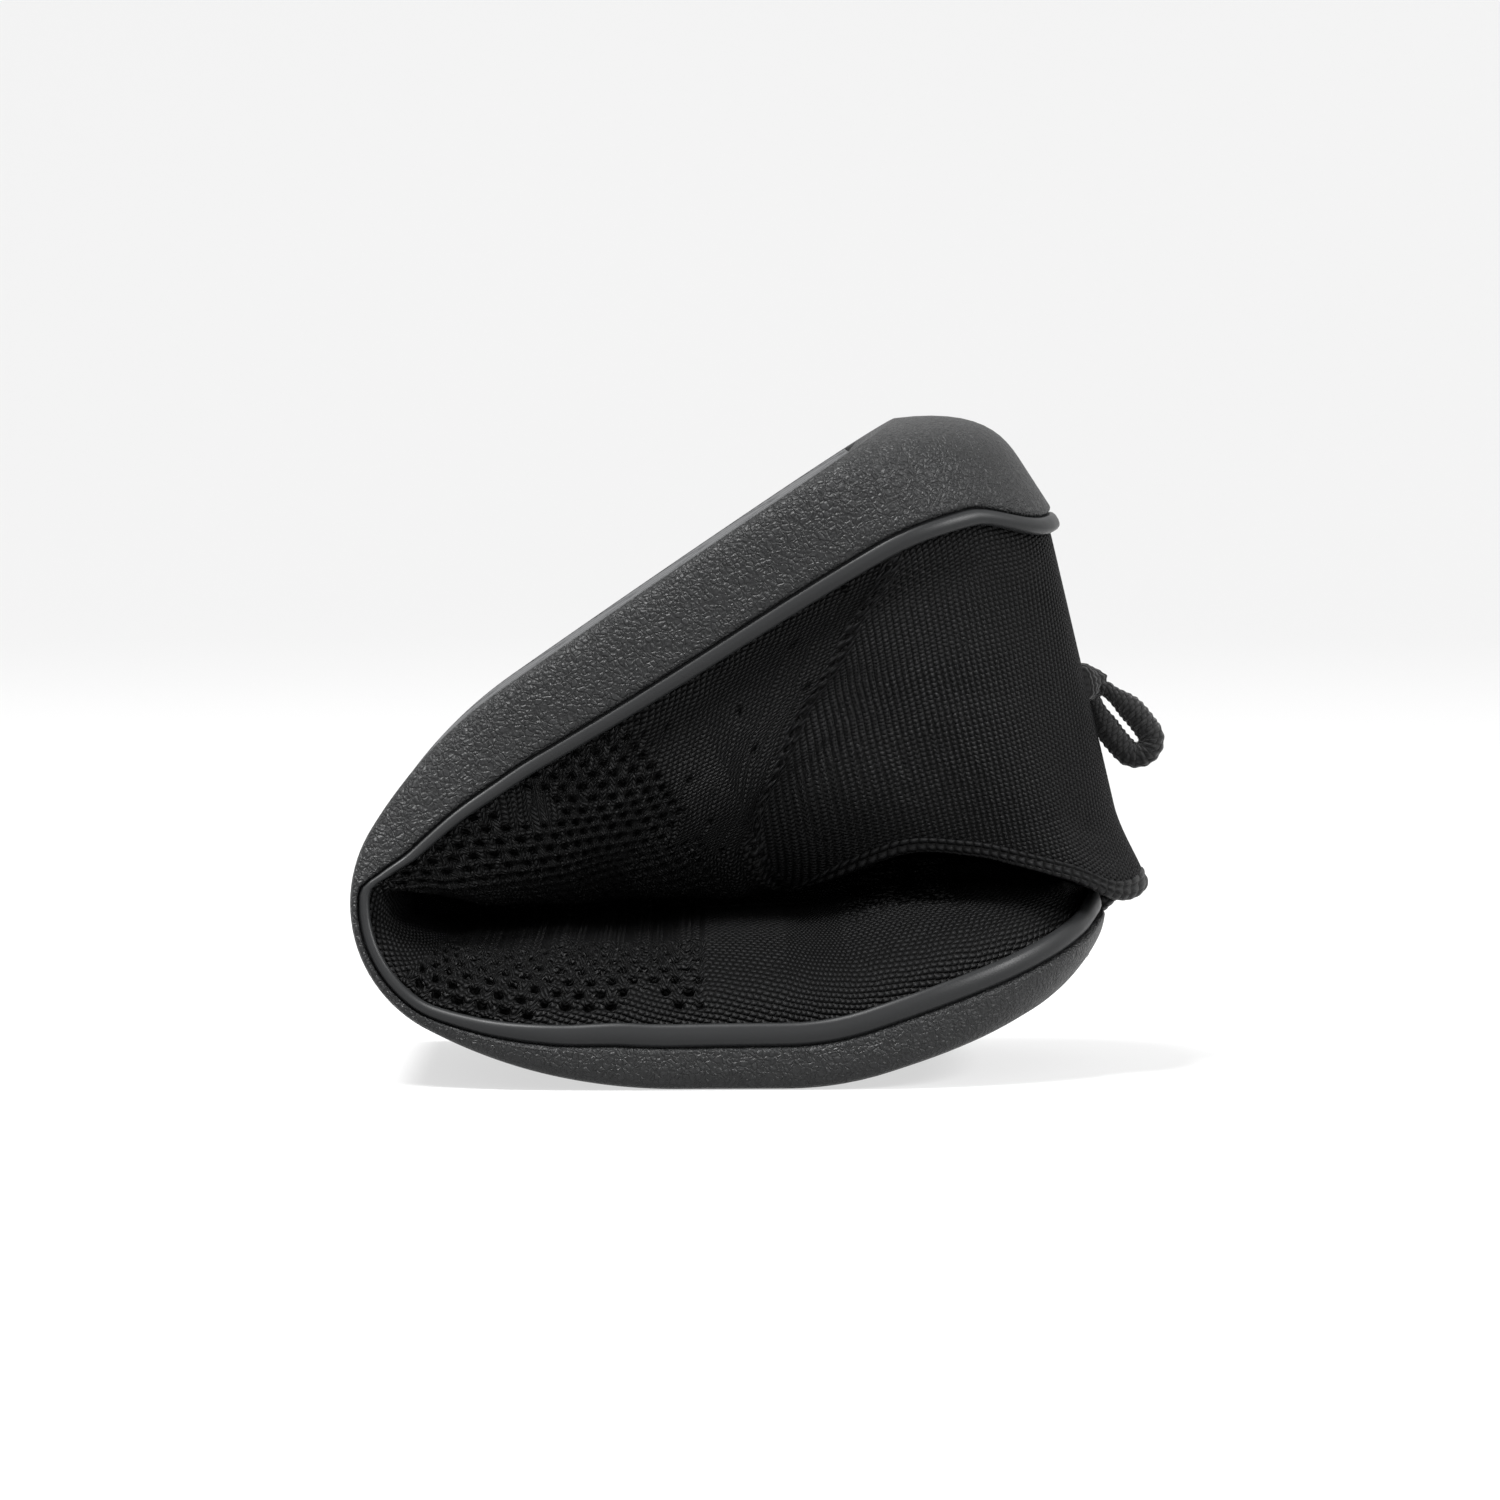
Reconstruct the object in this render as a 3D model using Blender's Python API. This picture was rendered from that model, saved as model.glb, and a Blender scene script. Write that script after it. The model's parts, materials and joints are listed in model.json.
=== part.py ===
"""A slip-on knit running shoe, folded in half across its sole with the heel lying over the toe.

Lengths are in millimetres until bend() turns them into metres, with +X toward the toe, the outer side of
the foot at -Y and +Z up.

Every layer is drawn on a flat shoe first. There s is the distance from the toe tip along the ground surface,
y runs across the shoe, and n is the height above the ground surface. The layer is then cut where the sole
hinges, and bend() lays each piece along the folded sole line.
"""

import bisect
import math

import bmesh
import bpy
from mathutils import Matrix, Vector

METRES = 0.001

# The folded sole line, walked from the toe tip along the ground surface to the heel tip.
TOE_RISE_DEG = 17.0
SOLE_RUNS = (
    (43.0, 0.0),  # 0 toe, straight and rising
    (17.0, TOE_RISE_DEG),  # 1 down to the floor
    (18.0, 0.0),  # 2 flat that the shoe rests on
    (43.0, 26.0),  # 3 rocker
    (38.0, 95.0),  # 4 tight bend
    (32.0, 24.0),  # 5 bend easing out
    (94.0, 2.0),  # 6 waist and heel
)
FLAT_RUN = 2
FLAT_MIDDLE_X = 7.0

# Where the sole hinges: run number and share of the run, and how far each hinge opens the fold.
HINGES = (
    ("bend_1", 3.60, 24.0),
    ("bend_2", 4.16, 31.0),
    ("bend_3", 4.45, 27.0),
    ("bend_4", 4.74, 34.0),
    ("rear", 5.28, 29.5),
)
HEEL_PIECES = ("heel_rib_knit", "heel_counter", "heel_lining", "collar_welt", "loop_anchor")
CUT_GAP = 0.3
SEAT_GAP = 0.3

# Half widths of the flat sole, at run number and share, with the round ends given by their lengths.
OUTER_HALF_WIDTH = (
    (0, 46.0), (1, 49.0), (3.5, 51.0), (4.3, 44.0), (5, 39.0), (6, 35.0), (6.75, 35.5), (7, 34.0),
)
INNER_HALF_WIDTH = (
    (0, 40.0), (1, 44.0), (3, 46.0), (4.3, 38.0), (5, 31.0), (6, 31.0), (6.75, 34.5), (7, 34.0),
)
TOE_ROUND = 50.0
HEEL_ROUND = 36.0
ROUND_POWER = 2.3

# Heights above the ground surface, at run number and share.
WALL_TOP = (
    (0, 11.5), (0.2, 8.6), (1, 7.5), (3.2, 6.7), (3.5, 5.0), (3.85, 2.8), (4.1, 1.7), (4.72, 1.3),
    (4.84, 4.2), (4.97, 6.6), (5.37, 9.4), (5.7, 11.2), (6.2, 13.3), (6.7, 15.0), (6.87, 18.6), (7, 27.5),
)
FOOTBED = (
    (0, 5.6), (1, 5.0), (3.2, 4.6), (3.85, 1.9), (4.1, 1.1), (4.72, 0.9), (4.97, 4.5), (5.7, 8.5), (7, 11.5),
)
BAND_HEIGHT = ((0, 3.8), (3.2, 4.0), (4.1, 2.2), (4.8, 2.0), (5.7, 2.6), (7, 3.2))
CROWN = (
    (0, 16.8), (0.08, 18.5), (0.25, 21.0), (0.52, 24.0), (0.83, 26.6), (1.9, 27.2), (3.1, 25.8), (3.6, 22.6),
    (3.9, 18.6), (4.16, 15.6), (4.32, 13.6), (4.45, 10.8), (4.6, 8.8), (4.72, 8.8), (4.80, 16.0), (4.9, 20.2),
    (5, 23.7), (5.28, 31.6), (5.56, 38.0), (6, 44.0), (6.12, 50.0), (6.28, 56.5), (6.48, 60.0), (6.63, 67.5),
    (6.81, 79.5), (7, 89.0),
)
# How far the upper's sections lean back toward the toe of the flat shoe, in degrees.
LEAN = (
    (0, 0), (4.72, 0), (4.84, 11), (5.2, 8), (5.7, 4), (6, 3), (6.28, 11), (6.5, 8), (6.63, 10), (6.81, 14),
    (7, 20),
)

# The sole unit.
SIDE_BEVEL = 2.5
TOE_BEVEL = 13.0
HEEL_BEVEL = 12.0
WALL_LEDGE = 4.3
TRAY_DRAFT = 0.2
WALL_ROUND = 0.6
# Rings down the wall: share of its height, and shares of the side's, toe's and heel's bevels.
WALL_RINGS = (
    (0.88, 0.0, 0.0, 0.0),
    (0.62, 0.0, 0.05, 0.0),
    (0.35, 0.15, 0.20, 0.13),
    (0.12, 0.45, 0.54, 0.42),
    (0.0, 1.0, 1.0, 1.0),
)
TREAD_THICKNESS = 1.1
TREAD_BORDER = 6.0
TREADS = (("tread_front", 0.32, 3.52), ("tread_rear", 5.45, 6.90))
TREAD_RAMP = 8.0

# The layers that sit on the sole unit.
BAND_THICKNESS = 2.0
BAND_CHAMFER = 0.8
GROOVE = 0.5
BOARD_THICKNESS = 0.8
INSOLE_THICKNESS = 2.2
INSOLE_MARGIN = 2.2
KNIT_THICKNESS = 1.6
KNIT_LIFT = 0.5

# The upper.
ARCH_POWER = 2.9
THROAT = 6.28
OPENING_HALF_WIDTH = 29.0
OPENING_ROUND = 26.0
COLLAR_MIN_ANGLE_DEG = 32.0
SEAM_FOOT = 6.74
SEAM_FOOT_HEIGHT = 19.0
SEAM_TOP = 6.36
SEAM_TOP_HEIGHT = 60.0
WELT_RADIUS = 1.4
PUFF_REACH = (0.10, 0.75)
PUFF_THICKNESS = 0.6
COUNTER_FRONT = 6.66
COUNTER_HEIGHT = 52.0
COUNTER_THICKNESS = 0.8
LINING_THICKNESS = 1.2
LINING_HEIGHT = 66.0

# The pull loop on the back of the heel.
LOOP_HEIGHT = 57.0
LOOP_CORD = 4.0
LOOP_REACH = 15.5
LOOP_SLOT = 1.0
LOOP_ANGLE_DEG = -46.0
LOOP_ROOT_SHARE = 0.6
ANCHOR_WIDTH = 9.0
ANCHOR_DEPTH = 7.0
ANCHOR_THICKNESS = 1.2

# Mesh fineness.
STATION_STEP = 6.5
BEND_STEP = 3.0
ROUND_STEPS = 8
ARCH_STEPS = 8
TURN_STEPS = 6
LINE_STEP = 0.25

COLOURS = {
    "sole": ((0.030, 0.031, 0.033), 0.75),
    "tread": ((0.038, 0.039, 0.041), 0.60),
    "band": ((0.040, 0.041, 0.043), 0.42),
    "board": ((0.35, 0.34, 0.31), 0.90),
    "insole": ((0.06, 0.06, 0.065), 0.95),
    "knit": ((0.012, 0.012, 0.013), 0.95),
    "rib": ((0.015, 0.015, 0.016), 0.95),
    "film": ((0.45, 0.45, 0.44), 0.50),
    "lining": ((0.05, 0.05, 0.052), 0.95),
    "webbing": ((0.010, 0.010, 0.011), 0.85),
}


def run_start(number):
    """Distance from the toe tip to the start of a run."""
    return sum(length for length, _ in SOLE_RUNS[:number])


SHOE_LENGTH = run_start(len(SOLE_RUNS))


def station(place):
    """Distance from the toe tip of a place given as run number and share of that run."""
    number = min(int(place), len(SOLE_RUNS) - 1)
    return run_start(number) + (place - number) * SOLE_RUNS[number][0]


def curve(table, s):
    """A smooth curve through a table's points that never overshoots them."""
    places = [station(place) for place, _ in table]
    values = [value for _, value in table]
    if s <= places[0]:
        return values[0]
    if s >= places[-1]:
        return values[-1]
    slopes = [(values[i + 1] - values[i]) / (places[i + 1] - places[i]) for i in range(len(table) - 1)]
    i = max(k for k in range(len(slopes)) if places[k] <= s)
    gap = places[i + 1] - places[i]
    t = (s - places[i]) / gap
    start = blended_slope(slopes, i)
    end = blended_slope(slopes, i + 1)
    rise = values[i + 1] - values[i]
    return (
        values[i]
        + rise * t * t * (3 - 2 * t)
        + gap * start * t * (1 - t) ** 2
        - gap * end * t * t * (1 - t)
    )


def blended_slope(slopes, i):
    """The slope at point i: the harmonic mean of its neighbours, or 0 at a peak, a dip or an end."""
    if i == 0 or i == len(slopes) or slopes[i - 1] * slopes[i] <= 0:
        return 0.0
    return 2 * slopes[i - 1] * slopes[i] / (slopes[i - 1] + slopes[i])


def sole_line():
    """Points of the folded ground surface as (s, x, z, heading), the heading 0 along -X and 90 along +Z."""
    heading = -TOE_RISE_DEG
    x = z = s = 0.0
    points = [(s, x, z, heading)]
    for length, turn in SOLE_RUNS:
        steps = round(length / LINE_STEP)
        for _ in range(steps):
            middle = math.radians(heading + turn / steps / 2)
            x -= length / steps * math.cos(middle)
            z += length / steps * math.sin(middle)
            heading += turn / steps
            s += length / steps
            points.append((s, x, z, heading))
    rest_s = run_start(FLAT_RUN) + SOLE_RUNS[FLAT_RUN][0] / 2
    rest = min(points, key=lambda point: abs(point[0] - rest_s))
    return [(s, x - rest[1] + FLAT_MIDDLE_X, z - rest[2], heading) for s, x, z, heading in points]


LINE = sole_line()
LINE_PLACES = [point[0] for point in LINE]


def line_at(s):
    """The folded ground surface at s: its x, its z and its heading in degrees."""
    i = min(max(bisect.bisect_right(LINE_PLACES, s) - 1, 0), len(LINE) - 2)
    (s0, x0, z0, heading0), (s1, x1, z1, heading1) = LINE[i], LINE[i + 1]
    t = (s - s0) / (s1 - s0)
    return x0 + t * (x1 - x0), z0 + t * (z1 - z0), heading0 + t * (heading1 - heading0)


def band_top(s):
    return curve(WALL_TOP, s) + curve(BAND_HEIGHT, s)


def bend(s, y, n):
    """The folded place, in metres, of a point of the flat shoe."""
    x, z, heading = line_at(s)
    straight = min(n, band_top(s))
    leaning = n - straight
    up = math.radians(heading)
    leant = math.radians(heading + curve(LEAN, s))
    x += straight * math.sin(up) + leaning * math.sin(leant)
    z += straight * math.cos(up) + leaning * math.cos(leant)
    return Vector((x, y, z)) * METRES


def rounding(s):
    """How much of its full width the sole has at s, from 0 at both tips to 1 past the round ends."""
    toe = max(0.0, 1 - s / TOE_ROUND)
    heel = max(0.0, 1 - (SHOE_LENGTH - s) / HEEL_ROUND)
    return max(0.0, 1 - max(toe, heel) ** ROUND_POWER) ** (1 / ROUND_POWER)


def stations():
    """Places along the sole, closest together at the round ends and in the bend."""
    turns = [math.radians(90 * k / ROUND_STEPS) for k in range(ROUND_STEPS)]
    places = [TOE_ROUND * (1 - math.cos(turn)) for turn in turns]
    bend_start, bend_end = station(3.7), station(5.4)
    places += spaced(TOE_ROUND, bend_start, STATION_STEP)
    places += spaced(bend_start, bend_end, BEND_STEP)
    places += spaced(bend_end, SHOE_LENGTH - HEEL_ROUND, STATION_STEP)
    places += [SHOE_LENGTH - HEEL_ROUND * (1 - math.cos(turn)) for turn in reversed(turns)]
    return sorted(set(round(place, 3) for place in places))


def spaced(start, end, step):
    count = max(1, round((end - start) / step))
    return [start + (end - start) * k / count for k in range(count)]


STATIONS = stations()


def half_width(s, side):
    """Half width of the sole at s on the outer side of the foot (-1) or the inner side (1)."""
    table = OUTER_HALF_WIDTH if side < 0 else INNER_HALF_WIDTH
    return curve(table, s) * rounding(s)


def chain(side, inset, height, toe=None, heel=None):
    """One side's edge of a layer: the sole's outline moved in by inset, at the heights that height(s) gives.

    toe and heel are the insets at the two tips, where they differ from the one at the side.
    """
    toe = inset if toe is None else toe
    heel = inset if heel is None else heel
    stretch = (SHOE_LENGTH - toe - heel) / SHOE_LENGTH
    points = []
    for place in STATIONS:
        s = toe + place * stretch
        full = curve(OUTER_HALF_WIDTH if side < 0 else INNER_HALF_WIDTH, place)
        width = half_width(place, side) * (full - inset) / full
        points.append((s, side * width, height(s)))
    return points


def ring(inset, height, toe=None, heel=None):
    """Both sides of a layer's edge, the outer side of the foot first."""
    return chain(-1, inset, height, toe, heel), chain(1, inset, height, toe, heel)


def grid_faces(bm, rows):
    """Quads between neighbouring rows of vertices."""
    for row, following in zip(rows, rows[1:]):
        for k in range(len(row) - 1):
            bm.faces.new((row[k], row[k + 1], following[k + 1], following[k]))


def islands(bm):
    """The faces of each separate closed surface."""
    waiting = set(bm.faces)
    while waiting:
        reached = [waiting.pop()]
        for face in reached:
            found = {other for edge in face.edges for other in edge.link_faces} & waiting
            waiting -= found
            reached.extend(found)
        yield reached


def signed_volume(faces):
    """Six times the volume that closed faces hold, negative if they face inward."""
    total = 0.0
    for face in faces:
        first, *others = [vertex.co for vertex in face.verts]
        for second, third in zip(others, others[1:]):
            total += first.dot(second.cross(third))
    return total


def facing_out(bm):
    """Turns every face of the closed solids outward."""
    bmesh.ops.recalc_face_normals(bm, faces=bm.faces)
    for faces in list(islands(bm)):
        if signed_volume(faces) < 0:
            bmesh.ops.reverse_faces(bm, faces=faces)
    return bm


def closed(bm):
    """Merges the points that meet at the tips, which closes the solid."""
    bmesh.ops.remove_doubles(bm, verts=bm.verts, dist=0.02)
    bmesh.ops.dissolve_degenerate(bm, edges=bm.edges, dist=0.001)
    return facing_out(bm)


def slab(rings):
    """A solid bounded by rings from the middle of its top, over its edge, to the middle of its bottom."""
    bm = bmesh.new()
    outer = [[bm.verts.new(point) for point in ring_[0]] for ring_ in rings]
    inner = [[bm.verts.new(point) for point in ring_[1]] for ring_ in rings]
    grid_faces(bm, outer + inner[::-1])
    grid_faces(bm, [inner[0], outer[0]])
    return closed(bm)


def hoop(rings):
    """A strip that runs all round the shoe and whose section is closed by going round the rings."""
    bm = bmesh.new()
    for side in (0, 1):
        rows = [[bm.verts.new(point) for point in ring_[side]] for ring_ in rings]
        grid_faces(bm, rows + [rows[0]])
    return closed(bm)


def arch_point(place, share, side, inset):
    """A point of the upper's section at a place along the sole.

    share runs from 0 at the band to 1 at the crown or the collar's edge, and inset moves the surface in.
    """
    base = curve(WALL_TOP, place) + KNIT_LIFT
    crown = curve(CROWN, place) - inset
    edge = BAND_THICKNESS + SEAT_GAP + inset
    stretch = (SHOE_LENGTH - 2 * edge) / SHOE_LENGTH
    full = curve(OUTER_HALF_WIDTH if side < 0 else INNER_HALF_WIDTH, place)
    width = half_width(place, side) * (full - edge) / full
    top = crown_angle(place, width, inset)
    angle = share * top
    power = 2 / ARCH_POWER
    rise = math.sin(angle) ** power / math.sin(top) ** power
    reach = max(0.0, math.cos(angle)) ** power
    crown += inset * (1 - math.sin(top) ** power) if place > station(THROAT) else 0.0
    return edge + place * stretch, side * width * reach, base + (crown - base) * rise


def crown_angle(place, width, inset):
    """How far round its section the upper reaches: 90 degrees where it closes over the foot, else less."""
    past = place - station(THROAT)
    if past <= 0 or width <= 0:
        return math.pi / 2 if past <= 0 else math.radians(COLLAR_MIN_ANGLE_DEG)
    opened = min(1.0, past / OPENING_ROUND)
    half_opening = (OPENING_HALF_WIDTH - inset) * math.sqrt(1 - (1 - opened) ** 2)
    open_share = min(1.0, half_opening / width)
    return max(math.radians(COLLAR_MIN_ANGLE_DEG), math.acos(open_share ** (ARCH_POWER / 2)))


def arch_surface(inset, thickness):
    """The upper as a closed shell: an outer and an inner skin, joined along the band and the collar."""
    bm = bmesh.new()
    shares = [k / ARCH_STEPS for k in range(ARCH_STEPS + 1)]
    for side in (-1, 1):
        skins = []
        for depth in (inset, inset + thickness):
            skins.append([[arch_point(place, share, side, depth) for place in STATIONS] for share in shares])
        outside, inside = ([[bm.verts.new(p) for p in row] for row in skin] for skin in skins)
        grid_faces(bm, [inside[0]] + outside)
        grid_faces(bm, inside)
        throat = sum(place <= station(THROAT) for place in STATIONS) - 1
        grid_faces(bm, [outside[-1][throat:], inside[-1][throat:]])
    return closed(bm)


def cut(bm, point, normal):
    """Keeps the part of a solid behind a plane, and closes it there."""
    everything = bm.verts[:] + bm.edges[:] + bm.faces[:]
    bmesh.ops.bisect_plane(bm, geom=everything, plane_co=point, plane_no=normal, clear_outer=True, dist=1e-4)
    open_edges = [edge for edge in bm.edges if edge.is_boundary]
    if open_edges:
        bmesh.ops.triangle_fill(bm, edges=open_edges, use_beauty=True, use_dissolve=False)
    return facing_out(bm)


def between(bm, start, end):
    """Keeps the part of a solid from s = start to s = end, where None is the end of the shoe."""
    if end is not None:
        cut(bm, (end, 0, 0), (1, 0, 0))
    if start is not None:
        cut(bm, (start, 0, 0), (-1, 0, 0))
    return bm


def stretches():
    """(body name, start, end) of each stretch of the sole between hinges."""
    cuts = [station(place) for _, place, _ in HINGES]
    starts = [None] + [place + CUT_GAP / 2 for place in cuts]
    ends = [place - CUT_GAP / 2 for place in cuts] + [None]
    return list(zip(["front"] + [name for name, _, _ in HINGES], starts, ends))


def material(name):
    colour, roughness = COLOURS[name]
    found = bpy.data.materials.get(name) or bpy.data.materials.new(name)
    found.use_nodes = True
    shader = found.node_tree.nodes["Principled BSDF"]
    shader.inputs["Base Color"].default_value = (*colour, 1.0)
    shader.inputs["Roughness"].default_value = roughness
    return found


def place_object(obj, look):
    obj.data.materials.append(material(look))
    parts.objects.link(obj)
    return obj


def folded(name, bm, look):
    """Turns a solid drawn on the flat shoe into a named object on the folded one."""
    for vertex in bm.verts:
        vertex.co = bend(*vertex.co)
    facing_out(bm)
    mesh = bpy.data.meshes.new(name)
    bm.to_mesh(mesh)
    bm.free()
    return place_object(bpy.data.objects.new(name, mesh), look)


def in_stretches(layer, whole, look):
    """Makes a layer as one piece for each stretch of the sole, or one on each side where it is open between."""
    for body, start, end in stretches():
        piece = between(whole.copy(), start, end)
        if len(list(islands(piece))) == 1:
            folded(f"{layer}_{body}", piece, look)
            continue
        for side, outward in (("outer", -1), ("inner", 1)):
            half = cut(piece.copy(), (0, 0, 0), (0, -outward, 0))
            folded(f"{layer}_{body}_{side}", half, look)
        piece.free()
    whole.free()


def sole_base(s):
    """Height of the sole unit's underside, raised where a tread panel lies under it."""
    raised = 0.0
    for _, start, end in TREADS:
        before = (station(start) - s) / TREAD_RAMP
        after = (s - station(end)) / TREAD_RAMP
        outside = min(1.0, max(0.0, before, after))
        raised = max(raised, 1 - outside * outside * (3 - 2 * outside))
    return raised * (TREAD_THICKNESS + SEAT_GAP)


def sole_unit():
    """The moulded foam tray: footbed, ledge, pebbled wall and rounded underside."""
    def part_way(share):
        return lambda s: sole_base(s) + share * (curve(WALL_TOP, s) - sole_base(s))

    def footbed(s):
        return curve(FOOTBED, s)

    def top(s):
        return curve(WALL_TOP, s)

    rings = [ring(WALL_LEDGE + TRAY_DRAFT, footbed), ring(WALL_LEDGE, top), ring(WALL_ROUND, top)]
    for height, side, toe, heel in WALL_RINGS:
        rings.append(ring(side * SIDE_BEVEL, part_way(height), toe * TOE_BEVEL, heel * HEEL_BEVEL))
    return slab(rings)


def tread(start, end):
    """A rubber panel on the ground surface, from one place on the sole to another."""
    def underside(s):
        return 0.0

    def upper_side(s):
        return TREAD_THICKNESS

    toe = TREAD_BORDER + TOE_BEVEL
    heel = TREAD_BORDER + HEEL_BEVEL
    panel = slab([
        ring(TREAD_BORDER, upper_side, toe, heel),
        ring(TREAD_BORDER + 0.4, underside, toe + 0.4, heel + 0.4),
    ])
    return between(panel, station(start), station(end))


def rim_band():
    """The smooth strip round the shoe between the wall and the knit."""
    def bottom(s):
        return curve(WALL_TOP, s) + GROOVE

    def shoulder(s):
        return bottom(s) + BAND_CHAMFER * 0.6

    def crest(s):
        return band_top(s)

    def upper_shoulder(s):
        return band_top(s) - BAND_CHAMFER * 0.6

    return hoop([
        ring(BAND_CHAMFER, bottom),
        ring(0.2, shoulder),
        ring(0.2, upper_shoulder),
        ring(BAND_CHAMFER, crest),
        ring(BAND_THICKNESS, crest),
        ring(BAND_THICKNESS, bottom),
    ])


def footbed_layer(margin, lift, thickness):
    """A flat layer that lies in the sole unit's tray."""
    def under(s):
        return curve(FOOTBED, s) + lift

    def over(s):
        return curve(FOOTBED, s) + lift + thickness

    inset = WALL_LEDGE + TRAY_DRAFT + margin
    return slab([ring(inset, over), ring(inset, under)])


def seam_plane():
    """A point and the heelward normal of the plane where the vamp's knit changes to the heel's rib knit."""
    foot = Vector((station(SEAM_FOOT), 0, SEAM_FOOT_HEIGHT))
    top = Vector((station(SEAM_TOP), 0, SEAM_TOP_HEIGHT))
    along = top - foot
    return foot, Vector((along.z, 0, -along.x)).normalized()


def knit_upper():
    """The knit in stretches, and the heel's rib knit behind the seam."""
    whole = arch_surface(0.0, KNIT_THICKNESS)
    foot, heelward = seam_plane()
    half_gap = heelward * CUT_GAP / 2
    for body, start, end in stretches():
        piece = between(whole.copy(), start, end)
        if body == "rear":
            heel = cut(piece.copy(), foot + half_gap, -heelward)
            folded("heel_rib_knit", heel, "rib")
            cut(piece, foot - half_gap, heelward)
        folded(f"knit_upper_{body}", piece, "knit")
    whole.free()


def toe_puff():
    """A thin stiffening film inside the toe."""
    start, end = PUFF_REACH
    film = arch_surface(KNIT_THICKNESS + SEAT_GAP, PUFF_THICKNESS)
    folded("toe_puff", between(film, station(start), station(end)), "film")


def heel_layers():
    """The counter film inside the heel, and the soft lining that covers it."""
    depth = KNIT_THICKNESS + SEAT_GAP
    layers = (
        ("heel_counter", depth, COUNTER_THICKNESS, COUNTER_HEIGHT, "film"),
        ("heel_lining", depth + COUNTER_THICKNESS + SEAT_GAP, LINING_THICKNESS, LINING_HEIGHT, "lining"),
    )
    for name, inset, thickness, height, look in layers:
        shell = between(arch_surface(inset, thickness), station(COUNTER_FRONT), None)
        folded(name, cut(shell, (0, 0, height), (0, 0, 1)), look)


def tube(name, points, radius, look, shares=None):
    """A closed ring of round cord through points given in metres, thinned by each point's share."""
    data = bpy.data.curves.new(name, "CURVE")
    data.dimensions = "3D"
    data.bevel_depth = radius * METRES
    data.bevel_resolution = 2
    spline = data.splines.new("POLY")
    spline.points.add(len(points) - 1)
    for target, point, share in zip(spline.points, points, shares or [1.0] * len(points)):
        target.co = (*point, 1.0)
        target.radius = share
    spline.use_cyclic_u = True
    rail = bpy.data.objects.new(name, data)
    parts.objects.link(rail)
    mesh = bpy.data.meshes.new_from_object(rail.evaluated_get(bpy.context.evaluated_depsgraph_get()))
    bpy.data.objects.remove(rail)
    bm = bmesh.new()
    bm.from_mesh(mesh)
    bmesh.ops.remove_doubles(bm, verts=bm.verts, dist=1e-6)
    bmesh.ops.recalc_face_normals(bm, faces=bm.faces)
    bm.to_mesh(mesh)
    bm.free()
    return place_object(bpy.data.objects.new(name, mesh), look)


def collar_welt():
    """The rolled edge that runs all round the collar, seated on the knit's edge."""
    lift = WELT_RADIUS + SEAT_GAP
    middle = KNIT_THICKNESS / 2
    sides = []
    for side in (-1, 1):
        edge = [arch_point(place, 1.0, side, middle) for place in STATIONS if place >= station(THROAT)]
        sides.append([bend(s, y, n + middle + lift) for s, y, n in edge])
    outer, inner = sides
    route = outer + inner[-2:0:-1]
    tube("collar_welt", route, WELT_RADIUS, "rib")


def heel_back(height):
    """The place, in metres, and outward heading, in degrees, of the back of the heel's knit at a height."""
    def at(wanted):
        low, high = 0.0, 1.0
        while high - low > 1e-6:
            middle = (low + high) / 2
            if arch_point(SHOE_LENGTH, middle, 1, 0)[2] < wanted:
                low = middle
            else:
                high = middle
        return bend(*arch_point(SHOE_LENGTH, low, 1, 0))

    below, above = at(height - ANCHOR_DEPTH / 2), at(height + ANCHOR_DEPTH / 2)
    along = above - below
    return (below + above) / 2, math.degrees(math.atan2(along.x, -along.z))


def pull_loop():
    """The webbing loop, and the stitched patch that holds it to the back of the heel."""
    seat, heading = heel_back(LOOP_HEIGHT)
    out = Vector((math.cos(math.radians(heading)), 0, math.sin(math.radians(heading))))
    lift = (SEAT_GAP + ANCHOR_THICKNESS / 2) * METRES
    bpy.ops.mesh.primitive_cube_add(size=1)
    anchor = bpy.context.object
    anchor.name = "loop_anchor"
    anchor.scale = (ANCHOR_THICKNESS * METRES, ANCHOR_WIDTH * METRES, ANCHOR_DEPTH * METRES)
    anchor.rotation_euler = (0, -math.radians(heading), 0)
    anchor.location = seat + out * lift
    anchor.users_collection[0].objects.unlink(anchor)
    place_object(anchor, "webbing")

    pivot = seat + out * (2 * SEAT_GAP + ANCHOR_THICKNESS + LOOP_CORD / 2) * METRES
    direction = math.radians(LOOP_ANGLE_DEG)
    forward = Vector((math.cos(direction), 0, math.sin(direction)))
    across = Vector((-forward.z, 0, forward.x))
    half = (LOOP_CORD + LOOP_SLOT) / 2
    tip = LOOP_REACH - LOOP_CORD / 2 - half
    root = LOOP_ROOT_SHARE * half
    outline = []
    for middle, radius, start, share in ((tip, half, 0.5, 1.0), (root, root, 1.5, LOOP_ROOT_SHARE)):
        for k in range(TURN_STEPS + 1):
            angle = math.pi * (start - k / TURN_STEPS)
            outline.append((middle + radius * math.cos(angle), radius * math.sin(angle), share))
    route = [pivot + (forward * along + across * aside) * METRES for along, aside, _ in outline]
    tube("pull_loop", route, LOOP_CORD / 2, "webbing", [share for _, _, share in outline])
    return pivot


def hinge_under(name):
    """The place in metres of the hinge that a piece turns on, or None for a piece of the front."""
    for body, place, _ in HINGES:
        if f"_{body}" in name or (body == "rear" and name in HEEL_PIECES):
            x, z, _ = line_at(station(place))
            return Vector((x, 0, z)) * METRES
    return None


def seat_origins(loop_pivot):
    """Puts every moving piece's origin on its joint's axis, and leaves its shape where it is."""
    for obj in parts.objects:
        pivot = loop_pivot if obj.name == "pull_loop" else hinge_under(obj.name)
        if pivot is not None:
            obj.data.transform(Matrix.Translation(-pivot) @ obj.matrix_basis)
            obj.matrix_basis = Matrix.Translation(pivot)


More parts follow.
